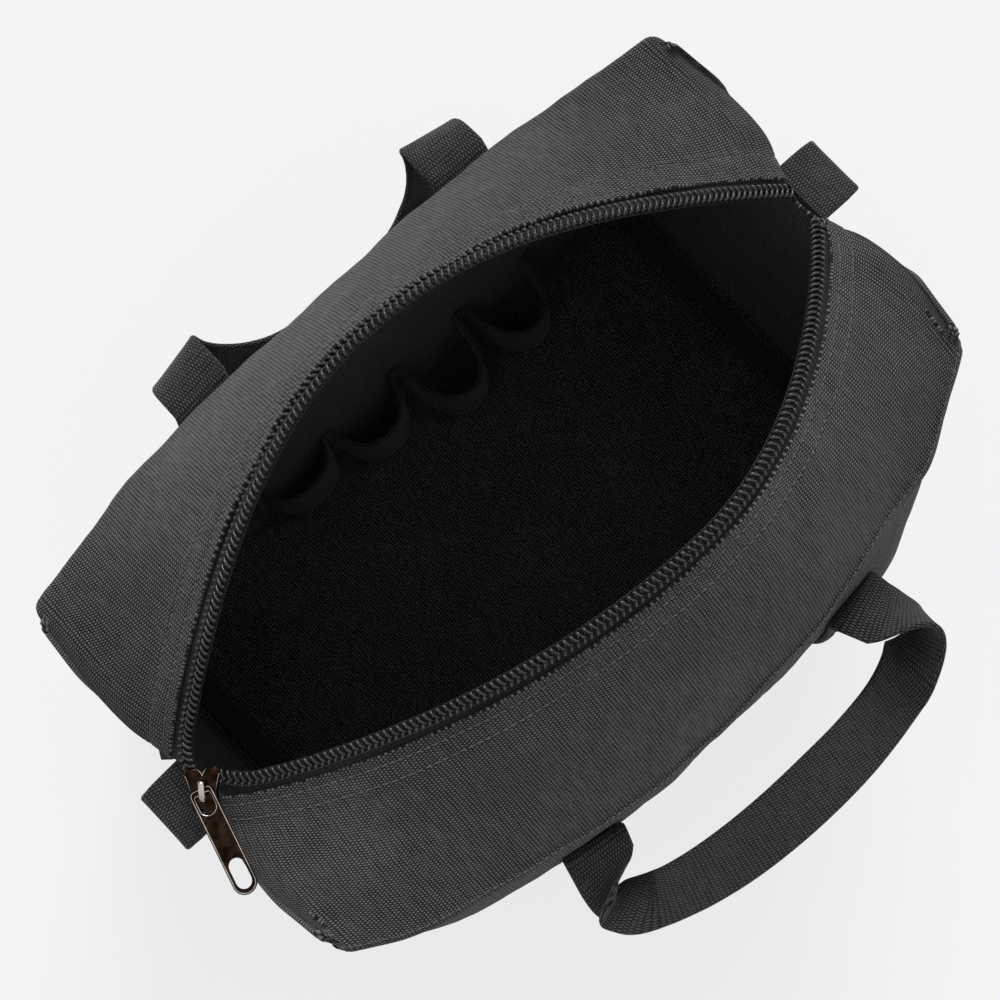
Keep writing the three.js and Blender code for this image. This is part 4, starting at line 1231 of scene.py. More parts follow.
@dataclass
class ZipLine:
    """One side of the zip as a run of frames: place, way out of the cloth and way to the mouth."""

    shape: BagShape
    wall: Wall
    join: tuple[float, float, float]
    join_run: float
    curl: bool = False
    coil_above: float = 1.4
    curl_length: float = 9.0
    curl_radius: float = 3.4
    curl_turn: float = 150.0

    def __post_init__(self) -> None:
        """Works out the frames along the coil, joined to the slider by a quadratic curve."""
        s = np.linspace(0, 1, 1200)
        place = self.shape.flap_point(self.wall, s, np.ones_like(s))
        out = self.shape.flap_normal(self.wall, s, np.full_like(s, 0.98))
        place = place + out * (self.coil_above - self.shape.cloth)
        cut = int(np.searchsorted(run_along(place), self.join_run))
        goal, start = np.array(self.join), place[cut]
        heading = unit(start - place[cut + 20])
        t = np.linspace(0, 1, 60)[:, None]
        bridge = quadratic(start, start + heading * np.linalg.norm(goal - start) * 0.55, goal, t)
        place = np.concatenate([bridge[::-1], place[cut + 1:]])
        out = np.concatenate([np.repeat(out[cut:cut + 1], len(t), axis=0), out[cut + 1:]])
        if self.curl:
            place, out = self.curled(place, out)
        self.place, self.out, self.run = place, out, run_along(place)
        inward = unit(np.cross(unit(np.gradient(place, axis=0)), out))
        self.inward = -inward if inward[len(inward) // 2, 1] * self.wall.side > 0 else inward

    def curled(self, place: Grid, out: Grid) -> tuple[Grid, Grid]:
        """Turns the far end of the coil over in a small arc, away from the mouth and down.

        Args:
            place: the places along the coil.
            out: the ways out of the cloth.

        Returns:
            The new places and ways out.
        """
        run = run_along(place)
        keep = run < run[-1] - self.curl_length
        place, out = place[keep], out[keep]
        heading, lift = unit(place[-1] - place[-12]), out[-1]
        bend = unit(np.array([0.35, self.wall.side * 0.94, 0]) - lift * 0.35)
        turn = np.linspace(0, 1, 40)[1:, None] * math.radians(self.curl_turn)
        curl = place[-1] + self.curl_radius * (np.sin(turn) * heading + (1 - np.cos(turn)) * bend)
        lifts = np.repeat(lift[None], len(curl), axis=0)
        return np.concatenate([place, curl]), np.concatenate([out, lifts])

    def at(self, run: Grid) -> tuple[Grid, Grid, Grid]:
        """The frames at given runs.

        Args:
            run: distances from the slider, in millimetres.

        Returns:
            The places, the ways out and the ways inward.
        """
        place, out = read_at(run, self.run, self.place), read_at(run, self.run, self.out)
        return place, unit(out), unit(read_at(run, self.run, self.inward))

    def offset(self, run: Grid, across: Grid, lift: Grid) -> Grid:
        """Places beside the coil's middle line: across towards the mouth and lifted off the cloth."""
        place, out, inward = self.at(run)
        return place + inward * np.asarray(across)[..., None] + out * np.asarray(lift)[..., None]


@dataclass
class Zip:
    """The zip: two woven tapes, two sewn coils, and the slider with its puller."""

    shape: BagShape
    wardrobe: Wardrobe
    pitch: float = 2.54
    coil_half: float = 1.35
    coil_shift: float = 0.85
    coil_high: float = 1.1
    coil_slant: float = 0.22
    coil_start: float = 0.5
    wire: float = 0.56
    over_thread: float = 0.62
    tape_thread: float = 0.3
    tape_top: float = -1.4
    tape_bottom: float = -2.1
    yaw: float = 52.0
    slider_at: tuple[float, float, float] = (-147.0, -7.3, 165.6)
    shoulders: float = 3.4

    def slider_matrix(self) -> Matrix:
        """The slider's place and turn, in metres."""
        place = Matrix.Translation([v * MM for v in self.slider_at])
        return place @ Matrix.Rotation(math.radians(self.yaw), 4, "Z")

    def line(self, wall: Wall) -> ZipLine:
        """The run of one side's coil, which starts in its shoulder of the slider.

        Args:
            wall: the wall on that side.

        Returns:
            The run.
        """
        turn = math.radians(self.yaw)
        ahead = np.array([math.cos(turn), math.sin(turn), 0])
        side = np.array([-math.sin(turn), math.cos(turn), 0]) * (1 if wall is REAR else -1)
        join = np.array(self.slider_at) + ahead * 5.5 + side * self.shoulders
        return ZipLine(self.shape, wall, tuple(join), 26.0 if wall is FRONT else 16.0, wall is FRONT)

    def tape(self, line: ZipLine, name: str, node: str) -> bpy.types.Object:
        """Builds a woven tape: flat, with a soft rib beside the coil and a turned free edge.

        Args:
            line: the coil's run.
            name: the object's name.
            node: the solid that it stands for.

        Returns:
            The object.
        """
        run = np.linspace(6, line.run[-1] - (7 if line.curl else 1.5), 240)[:, None]
        across = [-12.5, -9, -7, -6, -5.2, -4.7, -4.2, -3.7, -3.2, -2.4, -1, 0.4, 1.6, 1.9]
        run, across = np.broadcast_arrays(run, across)
        slope = 0.05 * np.minimum(0, across + 6)
        rib = 0.2 * bell(across, -3.9, 0.8)
        outer = line.offset(run, across, self.tape_top + rib + slope)
        inner = line.offset(run, across, self.tape_bottom + slope)
        piece = cloth_sheet(name, outer, inner, run_map(outer))
        return self.wardrobe.dress(piece, TAPE, Body.BAG, node)

    def coil(self, line: ZipLine, name: str, node: str) -> None:
        """Builds a sewn coil, a flattened helix of wire, and the threads that sew it.

        The wire's place is a superellipse across and off the tape, whose angle grows with the run.

        Args:
            line: the coil's run.
            name: the start of the objects' names.
            node: the solid that it stands for.
        """
        turns = int((line.run[-1] - 1.0) / self.pitch)
        angle = np.linspace(0, turns * math.tau, turns * 14 + 1)
        across = self.coil_half * signed_power(np.cos(angle), 0.8)
        run = self.coil_start + angle / math.tau * self.pitch - self.coil_slant * across
        run = np.clip(run, 0.1, line.run[-1] - 0.1)
        path = line.offset(run, across + self.coil_shift, self.coil_high * signed_power(np.sin(angle), 0.7))
        _, out, inward = line.at(run)
        section = circle(6) * (self.wire * (0.86 + 0.5 * np.cos(angle) ** 4))[:, None, None]
        points, faces = close_rings(sweep(path, unit(np.cross(inward, out)), section))
        self.wardrobe.dress(make_object(name, points, faces, None, 80.0), COIL, Body.BAG, node)
        points, faces = close_rings(self.sewing(line, turns))
        self.wardrobe.dress(make_object(f"{name}_sewing", points, faces, None, 80.0), COIL, Body.BAG)

    def sewing(self, line: ZipLine, turns: int) -> Grid:
        """The coil's threads: one over each turn, bowed by a sine wave, and a row on the tape.

        Those over the coil slant against the wire, which makes the chevrons.

        Args:
            line: the coil's run.
            turns: how many turns the coil has.

        Returns:
            Threads by rings by points by three.
        """
        start = (self.coil_start + (np.arange(turns - 1) + 0.32) * self.pitch)[:, None]
        t = np.linspace(0, 1, 6)
        bow = np.sin(math.pi * t)
        over = self.threads(line, start - 0.2 * t * self.pitch, -0.85 - t,
                            self.coil_high - 0.1 + 0.3 * bow, self.over_thread)
        beside = self.threads(line, start + (0.82 * t - 0.62) * self.pitch * 0.75, np.full_like(t, -2.6),
                              0.34 * bow - 1.35, self.tape_thread)
        return np.concatenate([over, beside])

    @staticmethod
    def threads(line: ZipLine, run: Grid, across: Grid, lift: Grid, radius: float) -> Grid:
        """Short threads beside the coil, as tubes of six sides.

        Args:
            line: the coil's run.
            run: the runs of each thread's points.
            across: their distances towards the mouth.
            lift: their heights off the cloth.
            radius: the thread's radius.

        Returns:
            Threads by rings by points by three.
        """
        path = line.offset(run, across, lift)
        along = unit(np.gradient(path, axis=1))
        side = unit(np.cross(along, line.at(run)[1]))
        turn = circle(6)
        ring = side[:, :, None] * turn[:, :1] + np.cross(side, along)[:, :, None] * turn[:, 1:]
        return path[:, :, None] + ring * radius

    def build(self) -> None:
        """Builds both sides of the zip and the slider."""
        for wall, side in ((FRONT, "front"), (REAR, "rear")):
            line = self.line(wall)
            self.tape(line, f"{side}_zip_tape", f"zipper_tape_{side}")
            self.coil(line, f"{side}_coil", f"zipper_teeth_{side}")
        Slider(self.wardrobe, self.slider_matrix()).build()


def plate(name: str, outlines: list[Grid], half: float, bevel: float) -> bpy.types.Object:
    """A flat plate with holes and rounded edges, as a filled curve turned into a mesh.

    Args:
        name: the object's name.
        outlines: the outer outline and then the holes, in millimetres.
        half: half the plate's thickness.
        bevel: the radius of the rounded edges.

    Returns:
        The object.
    """
    curve = bpy.data.curves.new(name, "CURVE")
    curve.dimensions = "2D"
    curve.fill_mode = "BOTH"
    curve.extrude = (half - bevel) * MM
    curve.bevel_depth = bevel * MM
    curve.bevel_resolution = 3
    curve.offset = -bevel * MM
    for outline in outlines:
        spline = curve.splines.new("POLY")
        count = len(outline)
        spline.points.add(count - 1)
        flat = np.column_stack([outline * MM, np.zeros(count), np.ones(count)])
        spline.points.foreach_set("co", flat.astype(np.float32).ravel())
        spline.use_cyclic_u = True
    holder = bpy.data.objects.new(name, curve)
    bpy.context.scene.collection.objects.link(holder)
    bpy.context.view_layer.update()
    mesh = bpy.data.meshes.new_from_object(holder)
    bpy.data.objects.remove(holder)
    bpy.data.curves.remove(curve)
    mesh.name = name
    made = bpy.data.objects.new(name, mesh)
    bpy.context.scene.collection.objects.link(made)
    mend_mesh(mesh)
    return made


def mend_mesh(mesh: bpy.types.Mesh) -> None:
    """Welds a mesh's doubles, turns its faces outwards and shades it smoothly.

    Args:
        mesh: the mesh.
    """
    work = bmesh.new()
    work.from_mesh(mesh)
    bmesh.ops.remove_doubles(work, verts=work.verts, dist=1e-6)
    bmesh.ops.recalc_face_normals(work, faces=work.faces)
    work.to_mesh(mesh)
    work.free()
    mesh.polygons.foreach_set("use_smooth", [True] * len(mesh.polygons))
    mesh.set_sharp_from_angle(angle=math.radians(35))


def arc(centre: tuple[float, float], radius: float, start: float, end: float, steps: int = 10) -> Grid:
    """Points of a circular arc, its angles in degrees."""
    turn = np.radians(np.linspace(start, end, steps))
    return np.array(centre) + radius * np.stack([np.cos(turn), np.sin(turn)], axis=1)


def loop_way(ring: Grid) -> Grid:
    """The direction along a closed loop at each of its points."""
    return unit(np.roll(ring, -1, axis=0) - np.roll(ring, 1, axis=0))


def bead(outline: Grid, level: float, radius: float) -> Grid:
    """A closed round bead along a flat outline.

    Args:
        outline: the outline's points, in its plane.
        level: the height of the plane.
        radius: the bead's radius.

    Returns:
        Rings by points by three.
    """
    ring = np.column_stack([outline, np.full(len(outline), level)])
    up = np.array([0, 0, 1.0])
    side = unit(np.cross(loop_way(ring), up))
    turn = circle(8)
    rings = ring[:, None] + radius * (side[:, None] * turn[:, :1] + up * turn[:, 1:])
    return np.concatenate([rings, rings[:1]])


@dataclass
class Slider:
    """The slider and its puller, in polished dark nickel with bright rims, in millimetres."""

    wardrobe: Wardrobe
    place: Matrix
    length: float = 15.0
    front: float = 12.0
    rear: float = 9.0
    notch: float = 2.4
    plate_half: float = 0.72
    channel: float = 3.4
    crown_rise: float = 3.0
    crown_bar: float = 1.7
    crown_half: float = 3.4
    rim_radius: float = 0.34
    puller_length: float = 39.4
    puller_width: float = 8.5
    puller_turn: float = 22.0
    puller_lift: float = 2.5
    puller_above: float = 3.0
    hole_length: float = 11.0
    hole_width: float = 5.6

    def plan(self, inset: float = 0.0) -> Grid:
        """The plan of a slider plate: narrow at its tail, flared and notched at its front.

        Args:
            inset: how far it is drawn in.

        Returns:
            The outline.
        """
        f, w, n = self.length / 2 - inset, self.front / 2 - inset, self.rear / 2 - inset
        bends = (((-f, 0), (-f, -n), (1.6 - f, -n)), ((-0.5, -n), (f - 5, -n - 0.2), (f - 2, -w)),
                 ((f - 2, -w), (f, -w), (f, 2 - w)), ((f, -1.9), (f - 0.4, -0.9), (f - self.notch, 0)))
        t = np.linspace(0, 1, 9)[:, None]
        lower = np.concatenate([quadratic(*np.array(corners), t) for corners in bends])
        outline = np.concatenate([lower, lower[-2::-1] * [1, -1]])
        return outline[np.linalg.norm(np.roll(outline, 1, axis=0) - outline, axis=1) > 1e-4]

    @staticmethod
    def raised(piece: bpy.types.Object, height: float) -> bpy.types.Object:
        """Moves a part up from the slider's middle plane and returns it."""
        piece.data.transform(Matrix.Translation((0, 0, height * MM)))
        return piece

    def body(self) -> None:
        """Builds the two plates, the wedge between them, the side rims, the crown and the bright rims."""
        level = self.channel / 2 + self.plate_half
        parts = [self.raised(plate("slider_plate", [self.plan()], self.plate_half, 0.5), sign * level)
                 for sign in (-1, 1)]
        wedge = arc((self.length / 2 - self.notch - 1.5, 0), 1.5, 0, 342, 20)
        parts.append(plate("slider_wedge", [wedge], 2.0, 0.2))
        for side in (-1, 1):
            corners = np.array([[-7, -0.6], [0.2, -0.6], [0.2, 0.6], [-7, 0.6]]) + [0, side * 3.9]
            parts += [self.raised(plate("slider_rim", [corners], 0.62, 0.2), sign * 1.3) for sign in (-1, 1)]
        joined, crown = merge("slider_body", parts), self.crown()
        line = level + self.plate_half * 0.35
        trim = [bead(self.plan(self.rim_radius), sign * line, self.rim_radius) for sign in (1, -1)]
        rims = make_object("slider_bright_rim", *stack_tubes(trim), None, 80.0)
        for piece, finish, nodes in ((joined, NICKEL, ["slider"]), (crown, BRIGHT, []), (rims, BRIGHT, [])):
            piece.data.transform(self.place)
            self.wardrobe.dress(piece, finish, Body.SLIDER, *nodes)

    def crown(self) -> bpy.types.Object:
        """Builds the arched bridge that carries the puller, half a superellipse.

        Returns:
            The object.
        """
        plates = self.channel / 2 + 2 * self.plate_half
        base, top = plates - 0.4, plates + self.crown_rise + self.crown_bar / 2
        t = np.linspace(0, math.pi, 25)
        across = self.crown_half * signed_power(np.cos(t), 0.55)
        path = np.column_stack([across, np.zeros_like(t), base + (top - base) * np.sin(t) ** 0.6])
        rings = sweep(path, np.tile([0.0, 1.0, 0.0], (len(path), 1)), circle(12) * [1.15, 0.85])
        return make_object("slider_crown", *close_rings(rings), None, 60.0)

    def puller(self) -> None:
        """Builds the puller: a recessed dark bar with a window and a long hole, in bright rims."""
        half, tail = self.puller_width / 2, self.puller_length - 1
        outer = np.concatenate([arc((-1, half - 2), 2, 90, 0, 6), arc((-1, 2 - half), 2, 0, -90, 6),
                                arc((half - tail, 0), half, 270, 90, 22)])
        rail = half - 1.2
        window = np.concatenate([arc((-2, 1 - rail), 1, -90, 0, 4), arc((-2, rail - 1), 1, 0, 90, 4),
                                 arc((rail - 9, 0), rail, 90, 270, 16)])
        radius = self.hole_width / 2
        far = 2 + radius - tail
        near = far + self.hole_length - self.hole_width
        hole = np.concatenate([arc((near, 0), radius, -90, 90, 14), arc((far, 0), radius, 90, 270, 14)])
        bar = plate("puller_bar", [outer, window, hole], 0.5, 0.2)
        loops = []
        for outline, inset, radius in ((outer, -0.5, 0.55), (window, 0.1, 0.36), (hole, 0.3, 0.36)):
            away = loop_way(outline)[:, ::-1] * [1, -1]
            facing = np.sign((away * (outline - outline.mean(axis=0))).sum())
            loops.append(bead(outline + away * facing * inset, 0.0, radius))
        rims = make_object("puller_bright_rim", *stack_tubes(loops), None, 80.0)
        turn = Matrix.Rotation(math.radians(self.puller_turn), 4, "Z")
        lift = Matrix.Rotation(math.radians(self.puller_lift), 4, "Y")
        height = self.channel / 2 + self.puller_above
        local = Matrix.Translation((-0.2 * MM, 0.8 * MM, height * MM)) @ turn @ lift
        for piece, finish, nodes in ((bar, NICKEL, ["zipper_puller"]), (rims, BRIGHT, [])):
            piece.data.transform(self.place @ local)
            self.wardrobe.dress(piece, finish, Body.PULLER, *nodes)

    def build(self) -> None:
        """Builds the slider and the puller."""
        self.body()
        self.puller()


def merge(name: str, parts: list[bpy.types.Object]) -> bpy.types.Object:
    """Joins several objects' meshes into one object.

    Args:
        name: the new object's name.
        parts: the objects, which are removed.

    Returns:
        The new object.
    """
    points, faces, base = [], [], 0
    for part in parts:
        mesh = part.data
        co = np.empty(len(mesh.vertices) * 3)
        mesh.vertices.foreach_get("co", co)
        points.append(co.reshape(-1, 3) / MM)
        faces.append([[base + v for v in polygon.vertices] for polygon in mesh.polygons])
        base += len(mesh.vertices)
        bpy.data.objects.remove(part)
    return make_object(name, np.concatenate(points), faces, None, 40.0)


def stack_tubes(tubes: list[Grid]) -> tuple[Grid, list]:
    """Puts tubes of different lengths in one mesh.

    Args:
        tubes: each tube's rings by points by three.

    Returns:
        The points and the faces.
    """
    points, faces, base = [], [], 0
    for tube in tubes:
        found, made = close_rings(tube)
        points.append(found)
        faces.extend(block + base for block in made)
        base += len(found)
    return np.concatenate(points), faces


# Webbing and what is sewn inside


# The two edges of each handle's free part, pair by pair along it, in millimetres from the hinge:
# along the bag, outward and up. The front's come from a fit to the handle's outlines as they are seen,
# the rear's from places read off its outlines.
FRONT_ROUTE = [
    ((-53.3, 9.9, -3.3), (-77.5, 7.5, -8.4)), ((-57.0, 12.6, -3.1), (-78.7, 14.2, -14.4)),
    ((-62.2, 14.3, -2.5), (-79.0, 20.5, -20.3)), ((-64.9, 15.1, -2.5), (-78.0, 22.6, -23.0)),
    ((-67.5, 15.9, -2.6), (-75.7, 23.0, -25.3)), ((-70.0, 16.9, -3.1), (-72.5, 21.8, -27.0)),
    ((-72.7, 17.9, -4.0), (-69.0, 20.2, -28.0)), ((-75.4, 19.1, -5.4), (-65.9, 19.0, -28.2)),
    ((-78.3, 20.3, -7.0), (-63.2, 18.6, -27.8)), ((-80.7, 21.8, -8.9), (-60.9, 18.9, -27.1)),
    ((-81.5, 23.5, -10.8), (-59.1, 19.7, -26.1)), ((-80.7, 25.5, -12.8), (-57.4, 20.6, -24.9)),
    ((-79.3, 27.5, -14.8), (-55.8, 21.5, -23.6)), ((-78.0, 29.4, -16.7), (-54.5, 22.1, -22.1)),
    ((-75.6, 32.6, -20.4), (-52.7, 22.9, -18.9)), ((-72.6, 35.3, -23.4), (-52.3, 23.0, -15.8)),
    ((-68.8, 37.6, -25.1), (-53.1, 22.4, -13.2)), ((-64.4, 39.7, -25.5), (-53.7, 21.9, -11.3)),
    ((-58.9, 42.0, -25.1), (-51.6, 22.7, -10.5)), ((-46.6, 46.1, -24.6), (-41.6, 25.3, -11.1)),
    ((-29.6, 49.9, -24.0), (-26.1, 27.8, -12.3)), ((-9.9, 52.3, -23.6), (-7.7, 29.3, -13.2)),
    ((10.4, 53.1, -23.4), (11.6, 29.7, -13.8)), ((28.9, 52.5, -24.1), (30.0, 29.5, -13.8)),
    ((43.8, 50.9, -24.9), (45.5, 27.9, -14.3)), ((51.0, 49.5, -24.2), (53.6, 26.1, -15.4)),
    ((56.2, 48.2, -21.6), (59.5, 23.9, -17.1)), ((60.2, 46.6, -17.0), (63.0, 22.4, -20.0)),
    ((62.2, 45.5, -14.4), (64.0, 22.2, -21.7)), ((64.5, 44.1, -12.0), (64.9, 22.4, -23.4)),
    ((67.1, 42.5, -9.7), (66.2, 22.9, -24.7)), ((69.8, 40.7, -7.4), (68.4, 23.7, -25.4)),
    ((72.5, 38.5, -5.1), (71.3, 24.4, -25.5)), ((74.9, 36.0, -2.8), (74.5, 24.7, -24.9)),
    ((76.4, 33.3, -0.5), (77.6, 24.5, -23.7)), ((76.8, 30.4, 1.7), (79.9, 23.5, -22.0)),
    ((75.8, 27.6, 3.6), (81.1, 21.9, -20.0)), ((73.4, 25.1, 4.9), (81.1, 19.6, -18.0)),
    ((66.1, 21.3, 5.7), (79.4, 14.3, -13.5)), ((58.3, 18.1, 4.0), (77.5, 9.2, -8.1)),
    ((55.0, 16.0, 2.6), (76.5, 6.8, -5.2)),
]
REAR_ROUTE = [
    ((-73.8, 5.2, 1.0), (-47.9, 7.4, 1.0)), ((-73.4, 10.9, 0.5), (-48.1, 13.6, 0.9)),
    ((-73.1, 15.3, -1.4), (-48.3, 18.5, 0.3)), ((-72.4, 18.9, -5.4), (-48.6, 21.6, -0.9)),
    ((-71.0, 21.1, -10.9), (-48.9, 23.5, -3.2)), ((-68.1, 22.0, -17.7), (-48.9, 23.8, -6.1)),
    ((-63.4, 21.2, -24.5), (-48.4, 22.5, -8.5)), ((-57.4, 18.0, -30.2), (-46.9, 20.3, -10.4)),
    ((-50.0, 13.4, -33.9), (-44.0, 17.2, -12.3)), ((-42.2, 9.7, -36.1), (-39.5, 13.5, -13.8)),
    ((-32.8, 9.9, -37.9), (-34.2, 10.2, -15.1)), ((-23.5, 10.1, -40.1), (-27.3, 7.4, -17.1)),
    ((-13.1, 10.2, -44.2), (-16.3, 5.7, -20.7)), ((2.2, 10.0, -47.5), (1.5, 4.8, -23.3)),
    ((23.6, 8.8, -44.2), (23.2, 5.5, -20.7)), ((34.7, 8.8, -40.2), (33.4, 6.9, -17.1)),
    ((42.7, 9.2, -38.1), (39.6, 9.2, -15.1)), ((51.6, 8.9, -36.3), (44.9, 11.9, -13.8)),
    ((59.8, 13.0, -34.1), (48.8, 15.2, -12.3)), ((67.6, 20.0, -30.3), (51.1, 18.5, -10.4)),
    ((72.0, 22.4, -24.5), (52.4, 21.2, -8.5)), ((74.7, 21.5, -17.7), (52.5, 22.9, -6.1)),
    ((76.5, 19.7, -10.9), (52.1, 22.7, -3.2)), ((77.2, 17.4, -5.4), (51.4, 20.3, -0.9)),
    ((77.3, 14.2, -1.4), (50.9, 16.5, 0.3)), ((77.0, 10.2, 0.5), (50.9, 11.4, 0.9)),
    ((76.9, 5.1, 1.0), (51.1, 5.8, 1.0)),
]


def smooth_path(points: Grid, per_span: int) -> Grid:
    """A centripetal Catmull-Rom curve through points.

    Args:
        points: the points that it passes.
        per_span: how many steps each span has.

    Returns:
        The curve's points.
    """
    ends = np.concatenate([[2 * points[0] - points[1]], points, [2 * points[-1] - points[-2]]])
    spans = len(points) - 1
    at = np.linspace(0, spans, spans * per_span + 1)
    index = np.minimum(at.astype(int), spans - 1)
    t = (at - index)[:, None]
    p0, p1, p2, p3 = (ends[index + k] for k in range(4))
    steps = (p1 - p0, p2 - p1, p3 - p2)
    d0, d1, d2 = (np.sqrt(np.linalg.norm(step, axis=1, keepdims=True)) for step in steps)
    m1 = ((p1 - p0) / d0 - (p2 - p0) / (d0 + d1) + (p2 - p1) / d1) * d1
    m2 = ((p2 - p1) / d1 - (p3 - p1) / (d1 + d2) + (p3 - p2) / d2) * d1
    return p1 + m1 * t + (3 * (p2 - p1) - 2 * m1 - m2) * t ** 2 + (2 * (p1 - p2) + m1 + m2) * t ** 3


@dataclass(frozen=True)
class Bend:
    """Where a webbing bends: between two distances from its hinge, out and up at an angle."""

    body: Body
    rise: float
    start: float
    end: float


FRONT_BEND = Bend(Body.FRONT_HANDLE, math.radians(20), 1.1, 4.2)
REAR_BEND = Bend(Body.REAR_HANDLE, 0.0, 1.9, 3.3)


@dataclass
class Carrying:
    """The webbing: two handles, sewn down to the walls, and a folded tab at each end."""

    shape: BagShape
    wardrobe: Wardrobe
    width: float = 25.4
    thickness: float = 2.0
    spacing: float = 125.0
    rear_shift: float = 6.0
    lift: float = 1.45
    edge_to_stitch: float = 2.4
    strap_foot: float = 6.0
    strap_drop: float = 4.5
    knee: float = 0.3
    tab_reach: float = 19.5
    tab_half_gap: float = 1.15
    tab_bow: float = 0.4
    tab_narrowing: float = 0.02
    rows: list[Grid] = field(default_factory=list)

    def hinge(self, name: str) -> Grid:
        """A joint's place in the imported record, in millimetres."""
        joints = {joint["name"]: joint for joint in frame["record"]["behaviour"]["joints"]}
        return np.array(joints[name]["pos_m"]) / MM

    def strap(self, wall: Wall, x: float, top: float) -> tuple[Grid, Grid, Grid]:
        """A strap's middle line up a wall.

        Args:
            wall: the wall.
            x: its place along the bag.
            top: the height of its top.

        Returns:
            The line, its width directions and its normals.
        """
        shape = self.shape
        s = np.full(60, shape.station_at(x))
        height = shape.wall_top(wall, np.array(x)) - shape.foot
        v = np.linspace(self.strap_foot / shape.height, (top - shape.foot) / height, 60)
        normal = shape.wall_normal(wall, s, v)
        return shape.wall_point(wall, s, v) + normal * self.lift, shape.wall_way(wall, s, v), normal

    def handle(self, wall: Wall, route: list, joint: str, bend: Bend, name: str, *nodes: str) -> None:
        """Builds a handle and its two straps as one webbing that bends where it leaves the wall.

        Args:
            wall: the wall that carries it.
            route: the free part's two edges, from the hinge: along the bag, outward and up.
            joint: the hinge at the top of the straps.
            bend: where the webbing would pass from the bag to the free part's body; not used.
            name: the object's name.
            nodes: the solids that it stands for.
        """
        shift = 0.0 if wall is FRONT else self.rear_shift
        hinge = self.hinge(joint)
        edges = np.array(route) * [1, wall.side, 1] + hinge
        one, two = smooth_path(edges[:, 0], 6), smooth_path(edges[:, 1], 6)
        curve, across = (one + two) / 2, unit(one - two)
        paths, sides = [curve], [across]
        t = np.linspace(0, 1, 12)[1:-1, None]
        for hand, place in ((-1, 0), (1, -1)):
            x = shift + hand * self.spacing / 2
            line, tangent, normal = self.strap(wall, x, hinge[2] - self.strap_drop)
            wide = tangent * np.sign((tangent[-1] * across[place]).sum())
            knee = np.array([line[-1, 0], line[-1, 1] + wall.side * self.knee, hinge[2] + self.knee])
            whole = np.concatenate([line, quadratic(line[-1], knee, curve[place], t)])
            ways = np.concatenate([wide, unit(wide[-1] * (1 - t) + across[place] * t)])
            paths = [whole, *paths] if hand < 0 else [*paths, whole[::-1]]
            sides = [ways, *sides] if hand < 0 else [*sides, ways[::-1]]
            self.sew_strap(line, tangent, normal)
        piece = webbing(name, np.concatenate(paths), np.concatenate(sides), self.width, self.thickness)
        self.wardrobe.clothe(piece, WEBBING, *nodes)
        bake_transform(piece)
        log.info("%s: %d faces", name, len(piece.data.polygons))

    def sew_strap(self, line: Grid, tangent: Grid, normal: Grid) -> None:
        """Sews a strap down: a row along each edge, and a crossed box near its top.

        Args:
            line: the strap's middle line.
            tangent: its width directions.
            normal: its normals.
        """
        face = line + normal * (self.thickness / 2 + 0.02)
        edge = tangent * (self.width / 2 - self.edge_to_stitch)
        thread = Stitch(3.4, 2.6, 0.26, 0.2)
        top, low = -3, -13
        box = slice(low, top)
        for side in (-1, 1):
            self.rows.append(thread.row(face[4:top] + edge[4:top] * side, normal[4:top]))
        for k in (top - 1, low):
            t = np.linspace(-1, 1, 12)[:, None]
            self.rows.append(thread.row(face[k] + edge[k] * t, np.repeat(normal[k][None], 12, axis=0)))
        for side in (-1, 1):
            t = np.linspace(-side, side, top - low)[:, None]
            self.rows.append(thread.row(face[box] + edge[box] * t, normal[box]))

    def tab(self, hand: int, droop: float, shift: float, out: float, name: str, node: str) -> None:
        """Builds a folded tab: out along one layer, round the fold, and back below.

        Args:
            hand: -1 for the end with the slider, 1 for the other.
            droop: how far it hangs, in degrees.
            shift: its place across the end.
            out: how much further out than the wall's top it starts.
            name: the object's name.
            node: the solid that it stands for.
        """
        middle = self.tab_half_gap
        reach = self.tab_reach - self.thickness - middle
        length = np.linspace(-2.0, reach, 24)
        turn = np.linspace(math.pi / 2, -math.pi / 2, 14)[1:-1]
        upper = np.column_stack([length, middle + self.tab_bow * np.sin(length / reach * math.pi)])
        fold = np.column_stack([reach + middle * 1.5 * np.cos(turn), middle * np.sin(turn)])
        lower = np.column_stack([length[::-1], np.full_like(length, -middle)])
        flat = np.concatenate([upper, fold, lower])
        angle = math.radians(droop)
        along = flat @ [math.cos(angle), math.sin(angle)]
        up = flat @ [-math.sin(angle), math.cos(angle)]
        radius = middle + 1
        drop = radius + (radius + 0.3) * math.tan(angle)
        x = hand * (self.shape.half + 0.3 + out + radius * math.sin(angle) + along)
        z = self.shape.height - self.shape.dip - drop + up
        path = np.column_stack([x, np.full_like(x, shift), z])
        across = np.tile([0.0, 1.0, 0.0], (len(path), 1))
        narrow = 1 - self.tab_narrowing * smooth_step(reach - 4, reach + 1, flat[:, 0])
        piece = webbing(name, path, across, self.width, self.thickness, narrow)
        self.wardrobe.dress(piece, WEBBING, Body.BAG, node)

    def build(self) -> None:
        """Builds the handles, the tabs and their stitching."""
        self.handle(FRONT, FRONT_ROUTE, "front_handle_hinge", FRONT_BEND, "front_handle_webbing",
                    "front_handle", "handle_strap_front_left", "handle_strap_front_right")
        self.handle(REAR, REAR_ROUTE, "rear_handle_hinge", REAR_BEND, "rear_handle_webbing",
                    "rear_handle", "handle_strap_rear_left", "handle_strap_rear_right")
        self.tab(-1, 14, -5, 0, "left_tab", "end_tab_left")
        self.tab(1, 16, 2.5, 3, "right_tab", "end_tab_right")
        self.wardrobe.dress(stitching("webbing_stitching", self.rows), DARK_THREAD, Body.BAG)


